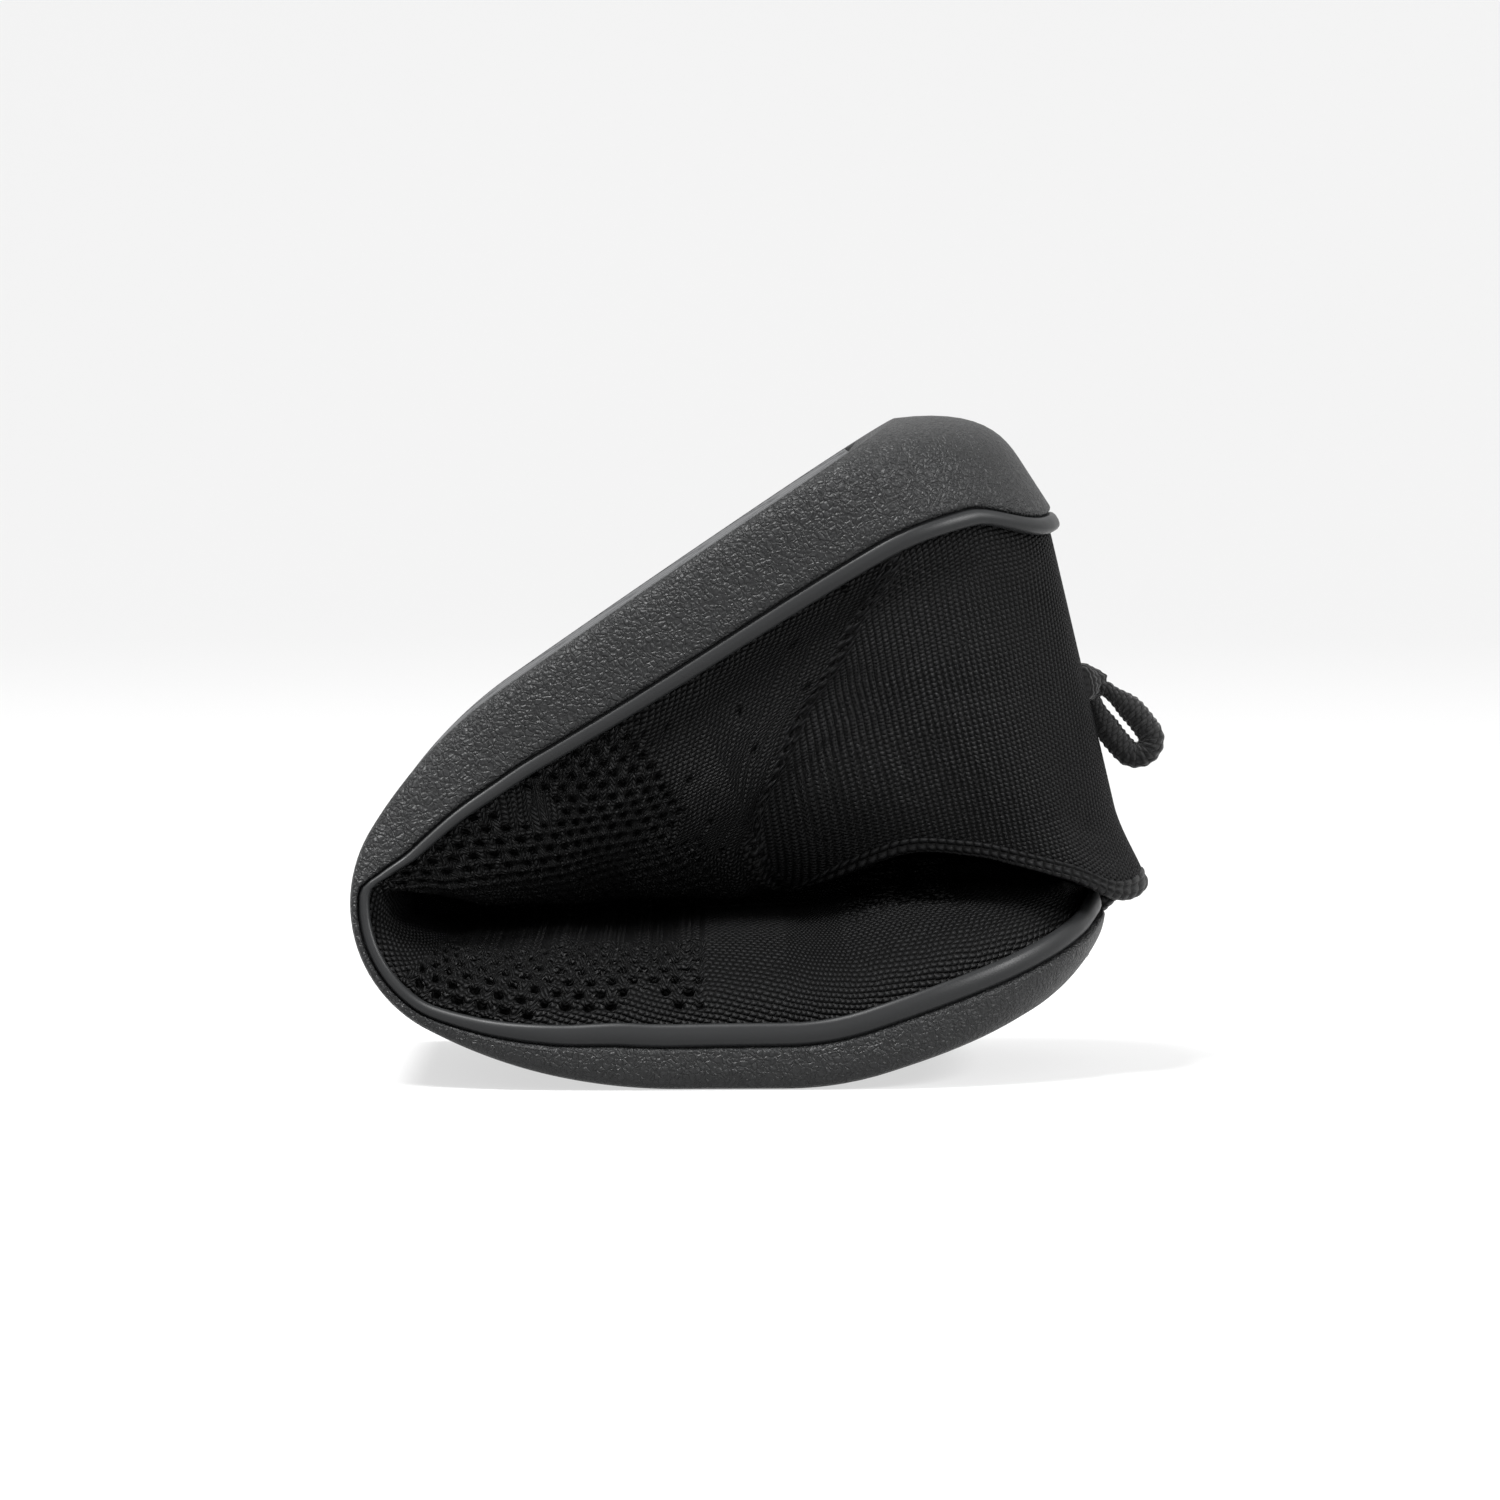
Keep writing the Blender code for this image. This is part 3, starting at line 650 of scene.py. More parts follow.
def hem_look():
    look = Look("hem_knit", YARN_PAINTED_LIGHT, 0.8, Specular_IOR_Level=0.10)
    u, v = look.uv("stitch")
    hollow, _ = look.uv("zone")
    # Painted shade: the colour darkens down into the eyelet holes.
    tone_and_hole_shade = look.sub(1.0, look.ramp(hollow, 0.1, 0.7))
    look.knitted(stitched(look, u, v, HEM_STITCH, HEM_ROW), 0.5, YARN_PAINTED_LIGHT, tone_and_hole_shade)
    return look.material


def webbing_look():
    look = Look("webbing", (0.012, 0.012, 0.013), 0.8, Sheen_Weight=0.15, Specular_IOR_Level=0.15)
    u, v = look.uv("stitch")
    yarn = stitched(look, v, u, 1.3, 0.75)
    fuzz = look.noise(look.spot(), 6.0, 2.0, 0.7)
    height = look.add(look.mul(yarn, 0.8), look.mul(fuzz, 0.2))
    look.bump(height, 0.3, 0.9)
    # Painted light: darker between the yarns as painted shade and lighter on their crowns as painted
    # highlight.
    look.colours(look.ramp(height, 0.1, 0.9), (0.0020, 0.0020, 0.0021), (0.0105, 0.0106, 0.0110))
    return look.material


# The sole


def sole_base(s):
    """Height of the sole's underside inside the border, raised where a tread panel is let into it."""
    raised = np.zeros_like(s)
    for start, end in TREADS:
        toe, heel = TREAD_BORDER + TOE_BEVEL, TREAD_BORDER + HEEL_BEVEL
        ends, _ = edge_line(np.array([station(start), station(end)]), 1, TREAD_BORDER, toe, heel)
        raised = np.maximum(raised, window(s, ends[0] - TREAD_RAMP, ends[1] + TREAD_RAMP, TREAD_RAMP / 2))
    return raised * (TREAD_THICKNESS + TREAD_GAP)


def tip_lift(s):
    """How far the sole's underside curves up toward the tip of the toe."""
    return TIP_LIFT * np.clip(1 - s / TIP_LIFT_REACH, 0, 1) ** 2


def sole_profile(place, side):
    """Rows of (s, y, n) from the footbed's edge, over the ledge and down the wall, to under the foot."""
    top = curve(WALL_TOP, place)
    rows = []
    ledge = ((0.2, curve(FOOTBED, place)), (0.0, top - 0.15), (-0.4, top))
    for past, height in ledge:
        rows.append((*edge_line(place, side, WALL_LEDGE + past), height))
    for turn in np.radians([90, 60, 30, 0]):
        round_off = np.minimum(WALL_EDGE, 0.2 * top)
        s, y = edge_line(place, side, WALL_EDGE - WALL_EDGE * math.cos(turn))
        rows.append((s, y, top - round_off * (1 - math.sin(turn))))
    for share in np.linspace(0.86, 0.0, 16):
        low = 1 - share
        side_inset = SIDE_BEVEL * (1 - (1 - low**4) ** 0.5)
        toe = TOE_BEVEL * (1 - (1 - low**TOE_BEVEL_POWER) ** (1 / TOE_BEVEL_POWER))
        tip = share * WALL_TOP[-1][1] / HEEL_BEVEL_HEIGHT
        heel = HEEL_BEVEL * max(0.0, 1 - tip) ** HEEL_BEVEL_POWER
        s, y = edge_line(place, side, side_inset, toe, heel)
        rows.append((s, y, share * top * 0.98 + (1 - share) * tip_lift(s)))
    for share, height in ((0.25, 0.0), (0.68, 0.0), (0.76, 0.15), (0.80, 1.0), (1.6, 1.0), (3.5, 1.0)):
        inset = SIDE_BEVEL + share * (TREAD_BORDER - SIDE_BEVEL)
        border = share * TREAD_BORDER
        s, y = edge_line(place, side, inset, TOE_BEVEL + border, HEEL_BEVEL + border)
        rows.append((s, y, height * sole_base(s) + tip_lift(s)))
    return rows


def sole_section(place):
    rows = sole_profile(place, -1) + sole_profile(place, 1)[::-1]
    rows.append(rows[0])
    points = np.stack([bend(*row) for row in rows])
    along = np.broadcast_to(place, points.shape[:2])
    return points, {"stitch": np.stack([along, arc_length(points)], axis=-1)}


def band_section(place):
    """Both sides of the rim band, each a rounded strip, joined by nothing between."""
    grids = []
    low, high = curve(WALL_TOP, place) + GROOVE * 0.6, band_top(place)
    for side in (-1, 1):
        tall = high - low
        rows = [(*edge_line(place, side, inset), low + share * tall) for inset, share in BAND_OUTLINE]
        grids.append(np.stack([bend(*row) for row in rows]))
    return grids


def rim_band(look):
    for piece in range(len(CHAIN) - 1):
        places = columns(piece, LAYER_STEP)
        sides = band_section(places)
        made = []
        for points in sides:
            uv = np.stack([np.broadcast_to(places, points.shape[:2]), arc_length(points)], axis=-1)
            made.append(grid_object(f"rim_band_{piece + 1}", points, {"stitch": uv}, look))
        whole = merged(made, f"rim_band_{piece + 1}")
        join_bodies(whole)
        body = CHAIN[piece + 1]
        ends = [""] if body == "rear" else ["_outer", "_inner"]
        names = [f"rim_band_{body}{end}" for end in ends]
        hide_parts(*(names + (["rim_band_front"] if piece == 0 else [])))


def merged(objects, name):
    """Several meshes as one object, with points that meet made one."""
    bm = bmesh.new()
    for obj in objects:
        bm.from_mesh(obj.data)
    bmesh.ops.remove_doubles(bm, verts=bm.verts, dist=WELD)
    bmesh.ops.recalc_face_normals(bm, faces=bm.faces)
    first, *others = objects
    bm.to_mesh(first.data)
    bm.free()
    for obj in others:
        bpy.data.objects.remove(obj)
    first.name = name
    return first


def tread_panel(name, body, start, end, look):
    """A rubber panel let into the sole, with rounded edges, chevron flex grooves and finely ribbed lugs."""
    place = spaced(station(start), station(end), TREAD_STEP)
    across = np.linspace(-1, 1, TREAD_ROWS)[:, None]
    toe, heel = TREAD_BORDER + TOE_BEVEL, TREAD_BORDER + HEEL_BEVEL
    outer_s, outer_y = edge_line(place, -1, TREAD_BORDER, toe, heel)
    _, inner_y = edge_line(place, 1, TREAD_BORDER, toe, heel)
    middle, half = (outer_y + inner_y) / 2, (inner_y - outer_y) / 2
    s = np.broadcast_to(outer_s, (TREAD_ROWS, len(place)))
    y = middle + across * half
    to_edge = half * (1 - abs(across))
    to_end = np.minimum(place - place[0], place[-1] - place)
    rim = 1 - smooth(np.minimum(to_edge, to_end), 0, TREAD_EDGE)
    turn = (s + CHEVRON * abs(y - middle)) / LUG_LENGTH
    to_groove = abs(turn - np.round(turn)) * LUG_LENGTH
    groove = 1 - smooth(to_groove, LUG_GROOVE * 0.6, LUG_GROOVE * 1.3)
    lines = []
    for at in LONG_GROOVES:
        to_line = abs(abs(across) - at) * half
        lines.append(1 - smooth(to_line, LUG_GROOVE * 0.5, LUG_GROOVE * 1.1))
    groove = np.maximum(groove, np.maximum(*lines)) * smooth(to_edge, 0.8, 1.6)
    fine = window(abs(across), LONG_GROOVES[-1], 2.0, 0.02) * smooth(to_edge, 1.0, 1.6) * (1 - groove)
    ribbing = LUG_RIB * fine * (0.5 + 0.5 * np.sin(2 * math.pi * s / LUG_RIB_PITCH))
    n = TREAD_THICKNESS * rim + GROOVE_DEPTH * groove + ribbing
    points = bend(s, y, n + tip_lift(s))
    uv = np.stack([s, y], axis=-1)
    panel = grid_object(name, points, {"stitch": uv}, look)
    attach(panel, body)
    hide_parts("tread_" + body)


# The upper


def arch(place, share, side, inset):
    """(s, y, n) on the upper, share running from 0 at the band to 1 at the crown or the collar's edge."""
    base = curve(WALL_TOP, place) + GROOVE
    crown = curve(CROWN, place) - inset
    edge = BAND_THICKNESS + SEAT_GAP + inset
    s, y = edge_line(place, 1, edge)
    full = full_width(place, side)
    width = half_width(place, side) * (full - edge) / full
    top = crown_angle(place, width, inset)
    power = 2 / ARCH_POWER
    angle = share * top
    rise = np.sin(angle) ** power / np.sin(top) ** power
    reach = np.clip(np.cos(angle), 0, 1) ** power
    crown = crown + np.where(place > station(THROAT), inset * (1 - np.sin(top) ** power), 0)
    return s, side * width * reach, base + (crown - base) * rise


def crown_angle(place, width, inset):
    """The arch's angle where it ends: upright where the upper is closed, less where the collar is open."""
    past = place - station(THROAT)
    opened = np.clip(past / OPENING_ROUND, 0, 1)
    half_opening = (OPENING_HALF_WIDTH - inset) * np.sqrt(np.clip(1 - (1 - opened) ** 2, 0, 1))
    open_share = np.clip(half_opening / np.maximum(width, 1e-6), 0, 1)
    angle = np.maximum(math.radians(COLLAR_MIN_ANGLE_DEG), np.arccos(open_share ** (ARCH_POWER / 2)))
    return np.where(past <= 0, math.pi / 2, angle)


def seam_place(share):
    """Where along the sole the seam between the two knits lies, at a share of the way up the upper."""
    return smooth_curve([at for at, _ in SEAM], [place for _, place in SEAM], share)


def outward(points):
    """Unit normals of a grid of points, along increasing rows crossed with increasing columns."""
    normal = np.cross(np.gradient(points, axis=0), np.gradient(points, axis=1))
    size = np.linalg.norm(normal, axis=-1, keepdims=True)
    return normal / np.maximum(size, 1e-12)


def bell(value, middle, width):
    return np.exp(-(((value - middle) / width) ** 2))


def slack(place, share, side):
    """How far, in mm, the soft knit stands out from its smooth shape: waves, gathers and sagging."""
    throat = station(THROAT)
    calm = np.sin(np.pi * np.clip(share, 0, 1)) ** 0.6
    calm = calm * smooth(place, 0, 12) * (1 - smooth(place, 262, 283))
    waves = WAVE * np.sin(place / 11.0 + 3.1 * share * side) * np.sin(5.0 * share + place / 23.0)
    waves += FINE_WAVE * np.sin(place / 5.3 - 6.0 * share + side)
    gathers = GATHER * bell(place, throat - 5, 13.0) * smooth(share, 0.4, 0.9)
    gathers = gathers * np.sin((place - throat) / 2.6 + 6.5 * share)
    crease = smooth(place, station(4.2), station(4.5)) * (1 - smooth(place, station(4.9), station(5.3)))
    pinches = PINCH * crease * smooth(share, 0.25, 0.8) * np.sin(place / 1.35)
    far = smooth(share, 0.3, 0.7) * (1 - smooth(share, 0.86, 1.0)) if side > 0 else 0.0
    facing = smooth_curve(*zip(*BULGE), place)
    flare = HEEL_FLARE * smooth(place, 258, 280) * smooth(share, 0.72, 1.0)
    return (waves + gathers + pinches) * calm + far * facing + flare


def hem_drop(place, share, side):
    """How far the collar hangs past its smooth line, on the side away from the camera and at the heel."""
    open_part = smooth(place, station(THROAT), station(6.5)) * (1 - smooth(place, station(6.82), station(7)))
    drop = np.where(side > 0, HEM_DROP, 0.0) * open_part
    at_heel = smooth(place, 262, SHOE_LENGTH) * smooth(share, 0.6, 1.0)
    return drop * smooth(share, 0.35, 1.0) + HEEL_DROP * at_heel


def skin(place, share, side, inset):
    """Points of the upper with its slack, and their outward normals."""
    s, y, n = arch(place, share, side, inset)
    points = bend(s, y, n + hem_drop(place, share, side))
    rising = 1 if share[-1, 0] > share[0, 0] else -1
    normals = outward(points) * -side * rising
    on_middle = abs(points[..., 1]) < 1e-5
    normals[on_middle, 1] = 0.0
    normals /= np.maximum(np.linalg.norm(normals, axis=-1, keepdims=True), 1e-12)
    return points + normals * slack(place, share, side)[..., None] * METRES, normals


def hole_pattern(along, across, pitch_along, pitch_across, radius):
    """1 at the middle of each hole of a staggered net, 0 off them."""
    row = across / pitch_across
    column = along / pitch_along + 0.5 * (np.floor(row) % 2)
    dx = (column - np.floor(column) - 0.5) * pitch_along
    dy = (row - np.floor(row) - 0.5) * pitch_across
    return 1 - smooth(np.hypot(dx, dy * 1.15), radius * 0.45, radius * 1.15)


def net(place, girth, share):
    """Height in mm of the knit's net: fields of ropes with holes between them, and a few single holes."""
    tilt = NET_TILT * np.maximum(place - NET_TILT_START, 0)
    slope = math.cos(math.atan(NET_TILT))
    along = (place + NET_TILT * girth * smooth(place, NET_TILT_START, NET_TILT_START + 20)) * slope
    along = along + 0.35 * np.sin(girth / 3.1)
    across = (girth - tilt) * np.where(place > NET_TILT_START, slope, 1.0) + 0.35 * np.sin(place / 4.7)
    field = np.zeros_like(girth)
    for start, end, soft, low, high, fade in NET_FIELDS:
        field = np.maximum(field, window(place, start, end, soft) * window(share, low, high, fade))
    plain = np.sin(place / 7.9 + 0.6) * np.sin(girth / 6.1 - place / 15.0)
    field = field * smooth(plain + 0.86, 0.0, 0.18)
    holes = field * hole_pattern(along, across, HOLE_LONG, HOLE_HIGH, HOLE_RADIUS)
    ropes = field * np.cos(2 * np.pi * across / HOLE_HIGH) * (0.75 + 0.25 * np.sin(along * 2.6))
    singles = hole_pattern(along + 3, across, HOLE_LONG * 4, HOLE_HIGH * 5, SINGLE_RADIUS)
    singles = singles * smooth(place, SINGLES_START, SINGLES_START + 3)
    return ROPE_HEIGHT * ropes - HOLE_DEPTH * np.maximum(holes, 0.7 * singles)


def window(value, start, end, soft):
    """1 where a value lies between start and end."""
    return smooth(value, start - soft, start + soft) * (1 - smooth(value, end - soft, end + soft))


def ribs(place, girth, share):
    """Height, -0.5 to 0.5, of the heel's ribs, which stop at the hem."""
    turn = (place + RIB_TILT * girth) / RIB_PITCH
    return (np.abs(np.sin(np.pi * turn)) - 0.5) * (1 - smooth(share, HEM_START - 0.005, HEM_START + 0.02))


def knit_piece(name, grid, look, texture):
    """A stretch of the upper as one mesh: outer skin, collar edge and inner skin, on both sides.

    grid(rows) gives a place for every point of that many rows, and texture the depth in mm to press the outer
    skin out or in.
    """
    made, grids = [], []
    for side in (-1, 1):
        skins = []
        for rows, inset, first, last in ((OUTER_ROWS, 0.0, 0, 1), (INNER_ROWS, KNIT_THICKNESS, 1, 0)):
            shares = np.linspace(first, last, rows)
            place = grid(shares)
            share = np.broadcast_to(shares[:, None], place.shape)
            points, normals = skin(place, share, side, inset)
            if inset == 0.0:
                pressings = texture(place, arc_length(points), share)
                points = points + normals * pressings[..., None] * METRES
            skins.append((points, place, share))
        points, places, shares = (np.concatenate([layer[k] for layer in skins]) for k in range(3))
        stitch = np.stack([tip_spread(places), arc_length(points)], axis=-1)
        # How deep each point sits in a hole; the knit's materials turn this into painted shade.
        hollow = np.clip(-np.concatenate([pressings, np.zeros_like(skins[1][1])]) / HOLE_DEPTH, 0, 1)
        zone = np.stack([hollow, shares], axis=-1)
        made.append(grid_object(name, points, {"stitch": stitch, "zone": zone}, look))
        grids.append(points)
    return merged(made, name), np.concatenate(grids)


def tip_spread(place):
    """Distances along the sole, stretched at the heel so that even steps run evenly round its end."""
    past = np.clip((place - SHOE_LENGTH + HEEL_ROUND) / HEEL_ROUND, 0, 1)
    return np.where(past > 0, SHOE_LENGTH - HEEL_ROUND + HEEL_ROUND * np.arcsin(past), place)


def tip_gather(spread):
    """The inverse of tip_spread."""
    past = np.clip((spread - SHOE_LENGTH + HEEL_ROUND) / HEEL_ROUND, 0, math.pi / 2)
    return np.where(past > 0, SHOE_LENGTH - HEEL_ROUND + HEEL_ROUND * np.sin(past), spread)


def heel_grid(shares):
    """A place for each row and column of the heel, from the seam to the heel tip."""
    start = tip_spread(seam_place(shares))[:, None]
    return tip_gather(start + (tip_spread(SHOE_LENGTH) - start) * np.linspace(0, 1, HEEL_COLUMNS))


def knit_upper(look, rib):
    def ribbed(place, girth, share):
        return RIB_HEIGHT * ribs(tip_spread(place), girth, share)

    last = len(CHAIN) - 2
    for piece in range(len(CHAIN) - 1):
        name = f"knit_upper_{piece + 1}"
        places = columns(piece, KNIT_STEP)
        if piece == last:
            start = station(PIECE_ENDS[piece])
            way = np.linspace(0, 1, LAST_COLUMNS)
            obj, points = knit_piece(
                name, lambda shares: start + (seam_place(shares)[:, None] - start) * way, look, net
            )
            places = start + (seam_place(0.0) - start) * way
        else:
            obj, points = knit_piece(
                name, lambda shares: np.broadcast_to(places, (len(shares), len(places))), look, net
            )
        join_bodies(obj)
        body = CHAIN[piece + 1]
        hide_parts(*([f"knit_upper_{body}"] + (["knit_upper_front"] if piece == 0 else [])))
    heel, _ = knit_piece("heel_ribs", heel_grid, rib, ribbed)
    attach(heel, "rear")
    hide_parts("heel_rib_knit")


def seam_strip(look):
    """The seam before the heel: two low ridges with a row of stitch holes between them, over both knits."""
    made = []
    shares = np.linspace(0.0, 0.985, 340)
    across = np.linspace(-SEAM_HALF_WIDTH, SEAM_HALF_WIDTH, 25)
    for side in (-1, 1):
        place = seam_place(shares)[:, None] + across
        share = np.broadcast_to(shares[:, None], place.shape)
        points, normals = skin(place, share, side, 0.0)
        girth = arc_length(points)
        edge = 1 - (across / SEAM_HALF_WIDTH) ** 2
        ridge = SEAM_RIDGE * edge**0.5 + 0.25 * np.cos(2 * math.pi * across / SEAM_HALF_WIDTH) * edge - 0.25
        row = girth / EYELET_PITCH
        dy = (row - np.floor(row) - 0.5) * EYELET_PITCH
        holes = 1 - smooth(np.hypot(across * 0.8, dy), 0.45, 1.05)
        lift = ridge - 0.9 * holes
        points = points + normals * lift[..., None] * METRES
        uv = np.stack([np.broadcast_to(across, place.shape), girth], axis=-1)
        # The eyelet holes go into the zone map, where the hem's material paints them dark as painted shade.
        uv_maps = {"stitch": uv, "zone": np.stack([holes, share], axis=-1)}
        made.append(grid_object("heel_seam", points, uv_maps, look))
    strip = merged(made, "heel_seam")
    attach(strip, "rear")


# Collar, loop and lining


def tube(name, route, look, shape, sides=24):
    """A closed ring of cord along a route in mm, its radius given by shape(distance along, turn round)."""
    ahead = np.roll(route, -1, axis=0) - np.roll(route, 1, axis=0)
    ahead /= np.linalg.norm(ahead, axis=1, keepdims=True)
    side = np.cross(ahead, shape_up(route))
    side /= np.linalg.norm(side, axis=1, keepdims=True)
    up = np.cross(side, ahead)
    steps = np.linalg.norm(np.diff(route, axis=0), axis=1)
    along = np.concatenate([[0], np.cumsum(steps)])
    turns = np.linspace(0, 2 * math.pi, sides + 1)
    radius = shape(along[None, :], turns[:, None])[..., None]
    ring = route[None] + radius * (np.cos(turns)[:, None, None] * side + np.sin(turns)[:, None, None] * up)
    ring = np.concatenate([ring, ring[:, :1]], axis=1)
    along = np.append(along, along[-1] + np.linalg.norm(route[0] - route[-1]))
    uv = np.stack(np.broadcast_arrays(along[None, :], turns[:, None] * 2.0), axis=-1)
    return grid_object(name, ring * METRES, {"stitch": uv}, look)


def shape_up(route):
    """A steady sideways reference for a route's rings."""
    return np.broadcast_to(np.array([0.0, 1.0, 0.0]), route.shape) + 1e-3


def collar_hem(look):
    """The turned edge of the collar: a soft double edge with rows of chunkier stitches on both faces."""
    even = tip_spread(np.array([station(THROAT) - 1.0, SHOE_LENGTH]))
    place = tip_gather(np.linspace(*even, 420))
    made = []
    outer_shares = np.linspace(HEM_START, 1.0, 14)
    inner_shares = np.linspace(1.0, HEM_START + 0.02, 8)
    for side in (-1, 1):
        faces = []
        for shares, inset in ((outer_shares, 0.0), (inner_shares, KNIT_THICKNESS)):
            grid, share = np.broadcast_arrays(place, shares[:, None])
            points, normals = skin(grid, share, side, inset)
            faces.append((points, normals, share))
        (outer, out_normal, out_share), (inner, in_normal, in_share) = faces
        girth = arc_length(outer)
        start = smooth(out_share, HEM_START, HEM_START + 0.012)
        rows = HEM_LIFT * start + 0.16 * np.abs(np.sin(np.pi * girth / HEM_ROW)) * start
        stitches = 0.12 * np.abs(np.sin(np.pi * (place + 0.5 * girth) / HEM_STITCH)) * start
        outer = outer + out_normal * (rows + stitches - 0.15)[..., None] * METRES
        inner_start = smooth(in_share, HEM_START + 0.02, HEM_START + 0.035)
        inner = inner - in_normal * HEM_LIFT * inner_start[..., None] * METRES
        tangent = outer[-1] - outer[-3]
        tangent = tangent / np.maximum(np.linalg.norm(tangent, axis=-1, keepdims=True), 1e-12)
        middle, half = (outer[-1] + inner[0]) / 2, (outer[-1] - inner[0]) / 2
        turns = np.radians(np.linspace(90, -90, 11)[1:-1])[:, None, None]
        depth = np.linalg.norm(half, axis=-1, keepdims=True)
        edge = middle + half * np.sin(turns) + tangent * depth * np.cos(turns)
        points = np.concatenate([outer, edge, inner])
        uv = np.stack([np.broadcast_to(place, points.shape[:2]), arc_length(points)], axis=-1)
        made.append(grid_object("collar_hem", points, {"stitch": uv, "zone": np.zeros_like(uv)}, look))
    hem = merged(made, "collar_hem")
    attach(hem, "rear")
    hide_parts("collar_welt")


def pull_loop(look):
    """A drop-shaped ring of round ribbed webbing, thinner at its root on the back of the heel."""
    joints = {joint["name"]: joint for joint in frame["record"]["behaviour"]["joints"]}
    pivot = np.array(joints["loop_swing"]["pos_m"]) / METRES
    direction, heel_out = math.radians(LOOP_ANGLE_DEG), out_of_heel()
    forward = np.array([math.cos(direction), 0, math.sin(direction)])
    across = np.array([-forward[2], 0, forward[0]])
    half = (LOOP_CORD + LOOP_SLOT) / 2
    root = LOOP_ROOT_SHARE * half
    tip = LOOP_REACH - LOOP_CORD / 2 - half
    outline = []
    for middle, radius, start in ((tip, half, 0.5), (root, root, 1.5)):
        turns = math.pi * (start - np.linspace(0, 1, 40))
        outline.append(np.stack([middle + radius * np.cos(turns), radius * np.sin(turns)], axis=1))
    for arc, after in ((0, 1), (2, 0)):
        way = np.linspace(0, 1, 42)[1:-1, None]
        begin, end = outline[arc][-1], outline[after][0]
        bow = LOOP_BOW * np.sin(np.pi * way) * np.array([[0, np.sign(begin[1])]])
        outline.insert(arc + 1, begin + (end - begin) * way + bow)
    flat = np.concatenate(outline)
    hang = np.array([heel_out[2], 0, -heel_out[0]])
    start = pivot - LOOP_SINK * heel_out + LOOP_HANG * hang
    route = start + flat[:, :1] * forward + flat[:, 1:] * across
    share = LOOP_ROOT_SHARE + (1 - LOOP_ROOT_SHARE) * smooth(flat[:, 0], root, 0.6 * tip)

    def ribbed(along, turn):
        ridges = 0.045 * np.sin(2 * math.pi * along / LOOP_RIB + 1.2 * np.sin(turn))
        return LOOP_CORD / 2 * share * (1 + ridges + 0.03 * np.sin(8 * turn))

    loop = tube("webbing_loop", route, look, ribbed)
    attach(loop, "pull_loop")
    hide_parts("pull_loop")


def out_of_heel():
    """The direction straight out of the back of the heel."""
    heading = math.radians(HEEL_HEADING_DEG)
    return np.array([math.cos(heading), 0, math.sin(heading)])


def loop_root(look):
    """The stitched patch of webbing that holds the loop: a soft pad with a raised knot in its middle."""
    low, high = (np.array(corner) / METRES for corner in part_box("loop_anchor"))
    centre = (low + high) / 2
    out = out_of_heel()
    up = np.array([-out[2], 0, out[0]])
    side = np.array([0.0, 1.0, 0.0])
    across, along = np.linspace(-1, 1, 61)[:, None], np.linspace(-1, 1, 61)[None, :]
    corner = (abs(across) ** 4 + abs(along) ** 4) ** 0.25
    pad = np.clip(1 - np.clip(corner, 0, 1) ** 6, 0, 1) ** 0.5
    seam = 1 - smooth(abs(np.maximum(abs(across), abs(along)) - 0.78), 0.03, 0.10)
    ribs = 0.10 * np.sin(2 * math.pi * along * ANCHOR_HEIGHT / 2 / LOOP_RIB)
    x, z = np.broadcast_arrays(across * ANCHOR_WIDTH / 2, along * ANCHOR_HEIGHT / 2)
    knot = KNOT_HEIGHT * np.exp(-((x / KNOT_RADIUS) ** 2) - ((z / KNOT_RADIUS) ** 2))
    height = -ANCHOR_DEPTH + pad * (ANCHOR_RISE + ribs - 0.3 * seam) + knot
    grid = (centre + height[..., None] * out + x[..., None] * side + z[..., None] * up) * METRES
    uv = np.stack([x, z], axis=-1)
    root = grid_object("loop_root", grid, {"stitch": uv}, look)
    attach(root, "rear")
    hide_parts("loop_anchor")


def insole_section(place):
    """The insole's section: a padded layer with rounded edges, a little higher along its two sides."""
    s, outer = edge_line(place, -1, INSOLE_INSET)
    _, inner = edge_line(place, 1, INSOLE_INSET)
    base = curve(FOOTBED, place) + INSOLE_LIFT
    over = np.linspace(-1, 1, 49)[:, None]
    across = np.concatenate([over, over[-2::-4]])
    top = INSOLE_THICKNESS * (1 - abs(over) ** 14) ** 0.5 * (0.86 + 0.14 * over**2)
    height = np.concatenate([top, np.zeros((len(across) - len(over), 1))])
    points = bend(s, (outer + inner) / 2 + across * (inner - outer) / 2, base + height)
    uv = np.stack([np.broadcast_to(place, points.shape[:2]), arc_length(points)], axis=-1)
    return points, {"stitch": uv}


def insole(look):
    pieces = flexing_layer(
        "insole_pad", look, insole_section, LAYER_STEP, lambda body: [f"insole_{body}"]
    )


def heel_lining(look):
    """The soft padded lining round the inside of the heel, thinning out at its top and front edges."""
    place = tip_gather(np.linspace(*tip_spread(np.array([station(LINING_START), SHOE_LENGTH])), 150))
    body = LINING_THICKNESS * np.clip((place - place[0]) / LINING_EDGE, 0, 1) ** 0.5
    rows = np.linspace(0.03, LINING_TOP, 50)[:, None]
    made = []
    for side in (-1, 1):
        share, grid = np.broadcast_arrays(rows, place)
        back, _ = skin(grid, share, side, LINING_DEPTH)
        puff = np.sin(np.pi * share / LINING_TOP) ** 0.5
        face, normals = skin(grid, share, side, LINING_DEPTH + body)
        face = face - normals * (puff * body * LINING_PUFF)[..., None] * METRES
        points = np.concatenate([back, face[::-1], back[:1]])
        uv = np.stack([np.broadcast_to(place, points.shape[:2]), arc_length(points)], axis=-1)
        made.append(grid_object("heel_lining_pad", points, {"stitch": uv}, look))
    pad = merged(made, "heel_lining_pad")
    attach(pad, "rear")
    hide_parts("heel_lining")


def inside(looks):
    """What lies inside keeps its CAD shape and gets its own cloth or film."""
    for name, obj in frame["nodes"].items():
        for key, look in looks.items():
            if name.startswith(key):
                obj.data.materials.clear()
                obj.data.materials.append(look)


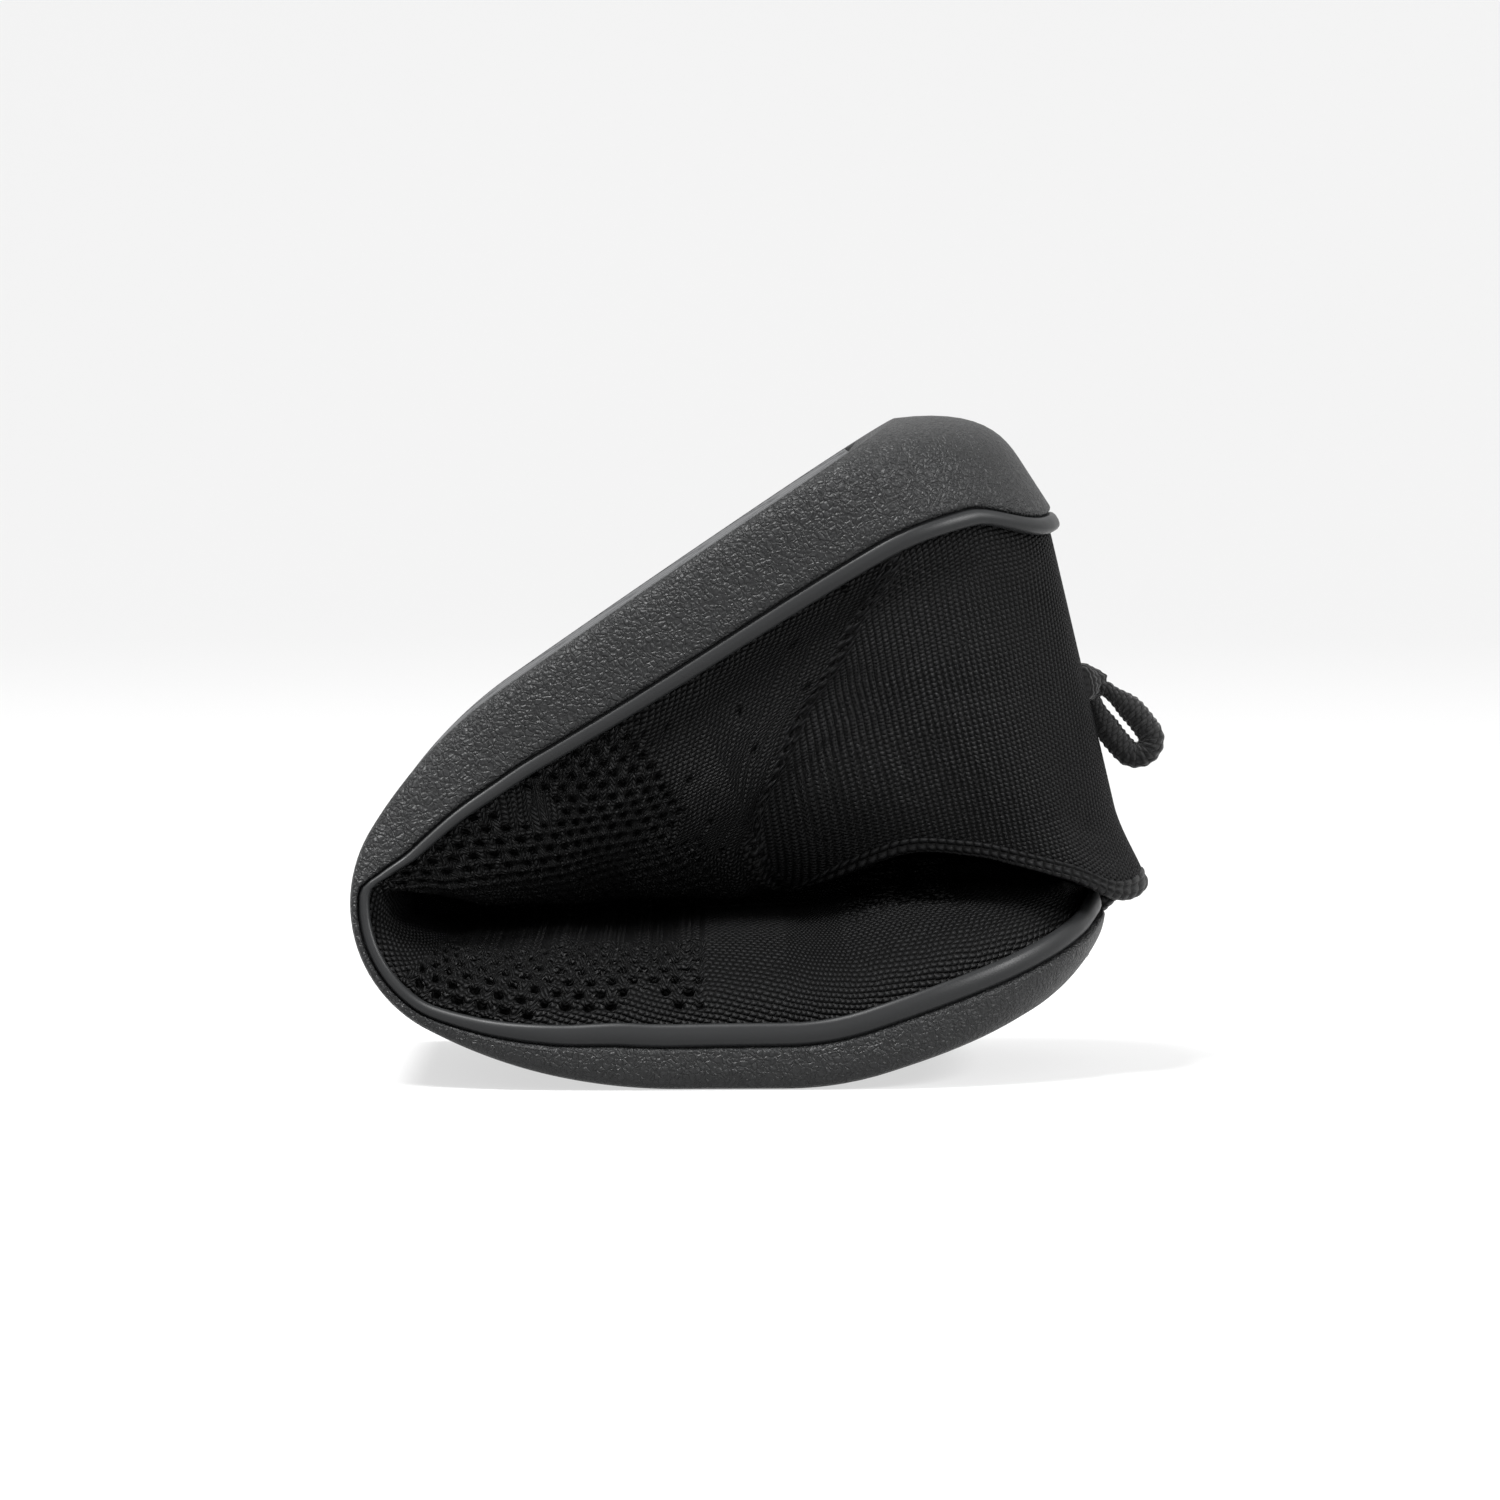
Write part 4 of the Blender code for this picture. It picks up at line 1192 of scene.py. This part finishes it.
# Room


def room():
    """A pale seamless sweep, soft light from all round and above, and the camera."""
    look = Look("pale_sweep", (0.25, 0.25, 0.25), 0.9, Specular_IOR_Level=0.1)
    look.colours(look.noise(look.spot(), 0.002, 1.0), (0.245, 0.245, 0.245), (0.255, 0.255, 0.255))
    look.shader.inputs["Emission Color"].default_value = (1, 1, 1, 1)
    look.shader.inputs["Emission Strength"].default_value = SWEEP_GLOW
    profile = [(0.0, 0.0), (FLOOR_RADIUS, 0.0)]
    for turn in np.radians(np.arange(7.5, 90, 7.5)):
        profile.append((FLOOR_RADIUS + SWEEP_RADIUS * math.sin(turn), SWEEP_RADIUS * (1 - math.cos(turn))))
    profile.append((FLOOR_RADIUS + SWEEP_RADIUS, SWEEP_HEIGHT))
    turns = np.linspace(0, 2 * math.pi, 97)
    grid = np.array([[(r * math.cos(a), r * math.sin(a), z - FLOOR_GAP) for r, z in profile] for a in turns])
    sweep = grid_object("sweep", grid, {}, look.material)

    world = bpy.data.worlds.new("soft_room")
    bpy.context.scene.world = world
    world.use_nodes = True
    world.node_tree.nodes["Background"].inputs[0].default_value = (1.0, 1.0, 1.0, 1)
    world.node_tree.nodes["Background"].inputs[1].default_value = WORLD_LIGHT
    for name, place, size, watts in LAMPS:
        lamp(name, place, size, watts)

    camera = bpy.data.cameras.new("camera")
    holder = bpy.data.objects.new("camera", camera)
    bpy.context.scene.collection.objects.link(holder)
    camera.sensor_width = 36.0
    camera.lens = camera.sensor_width * CAMERA_DISTANCE / VIEW_WIDTH
    camera.clip_start = 0.05
    elevation = math.radians(CAMERA_ELEVATION_DEG)
    aim = Vector(CAMERA_AIM)
    holder.location = aim + CAMERA_DISTANCE * Vector((0, -math.cos(elevation), math.sin(elevation)))
    holder.rotation_euler = (math.pi / 2 - elevation, 0, 0)
    bpy.context.scene.camera = holder
    bpy.context.scene.view_settings.view_transform = "Standard"


def lamp(name, place, size, watts):
    data = bpy.data.lights.new(name, "AREA")
    data.shape = "DISK"
    data.size = size
    data.energy = watts
    holder = bpy.data.objects.new(name, data)
    holder.location = place
    holder.rotation_euler = (Vector(CAMERA_AIM) - Vector(place)).to_track_quat("-Z", "Y").to_euler()
    bpy.context.scene.collection.objects.link(holder)


def main():
    sole, band, knit, rib, hem = sole_look(), band_look(), knit_look(), rib_look(), hem_look()
    flexing_layer("sole_unit", sole, sole_section, LAYER_STEP, lambda body: [f"sole_unit_{body}"])
    for (start, end), body in zip(TREADS, ("front", "rear")):
        tread_panel(f"tread_panel_{body}", body, start, end, tread_look())
    rim_band(band)
    knit_upper(knit, rib)
    seam_strip(hem)
    collar_hem(hem)
    webbing = webbing_look()
    pull_loop(webbing)
    loop_root(webbing)
    lining = cloth_look("brushed_lining", (0.009, 0.009, 0.010), (0.024, 0.024, 0.025), 2.5)
    insole(lining)
    heel_lining(lining)
    inside({
        "strobel_board": cloth_look("board", (0.07, 0.07, 0.065), (0.11, 0.108, 0.102), 1.5),
        "toe_puff": film_look(),
        "heel_counter": film_look(),
    })
    room()


main()
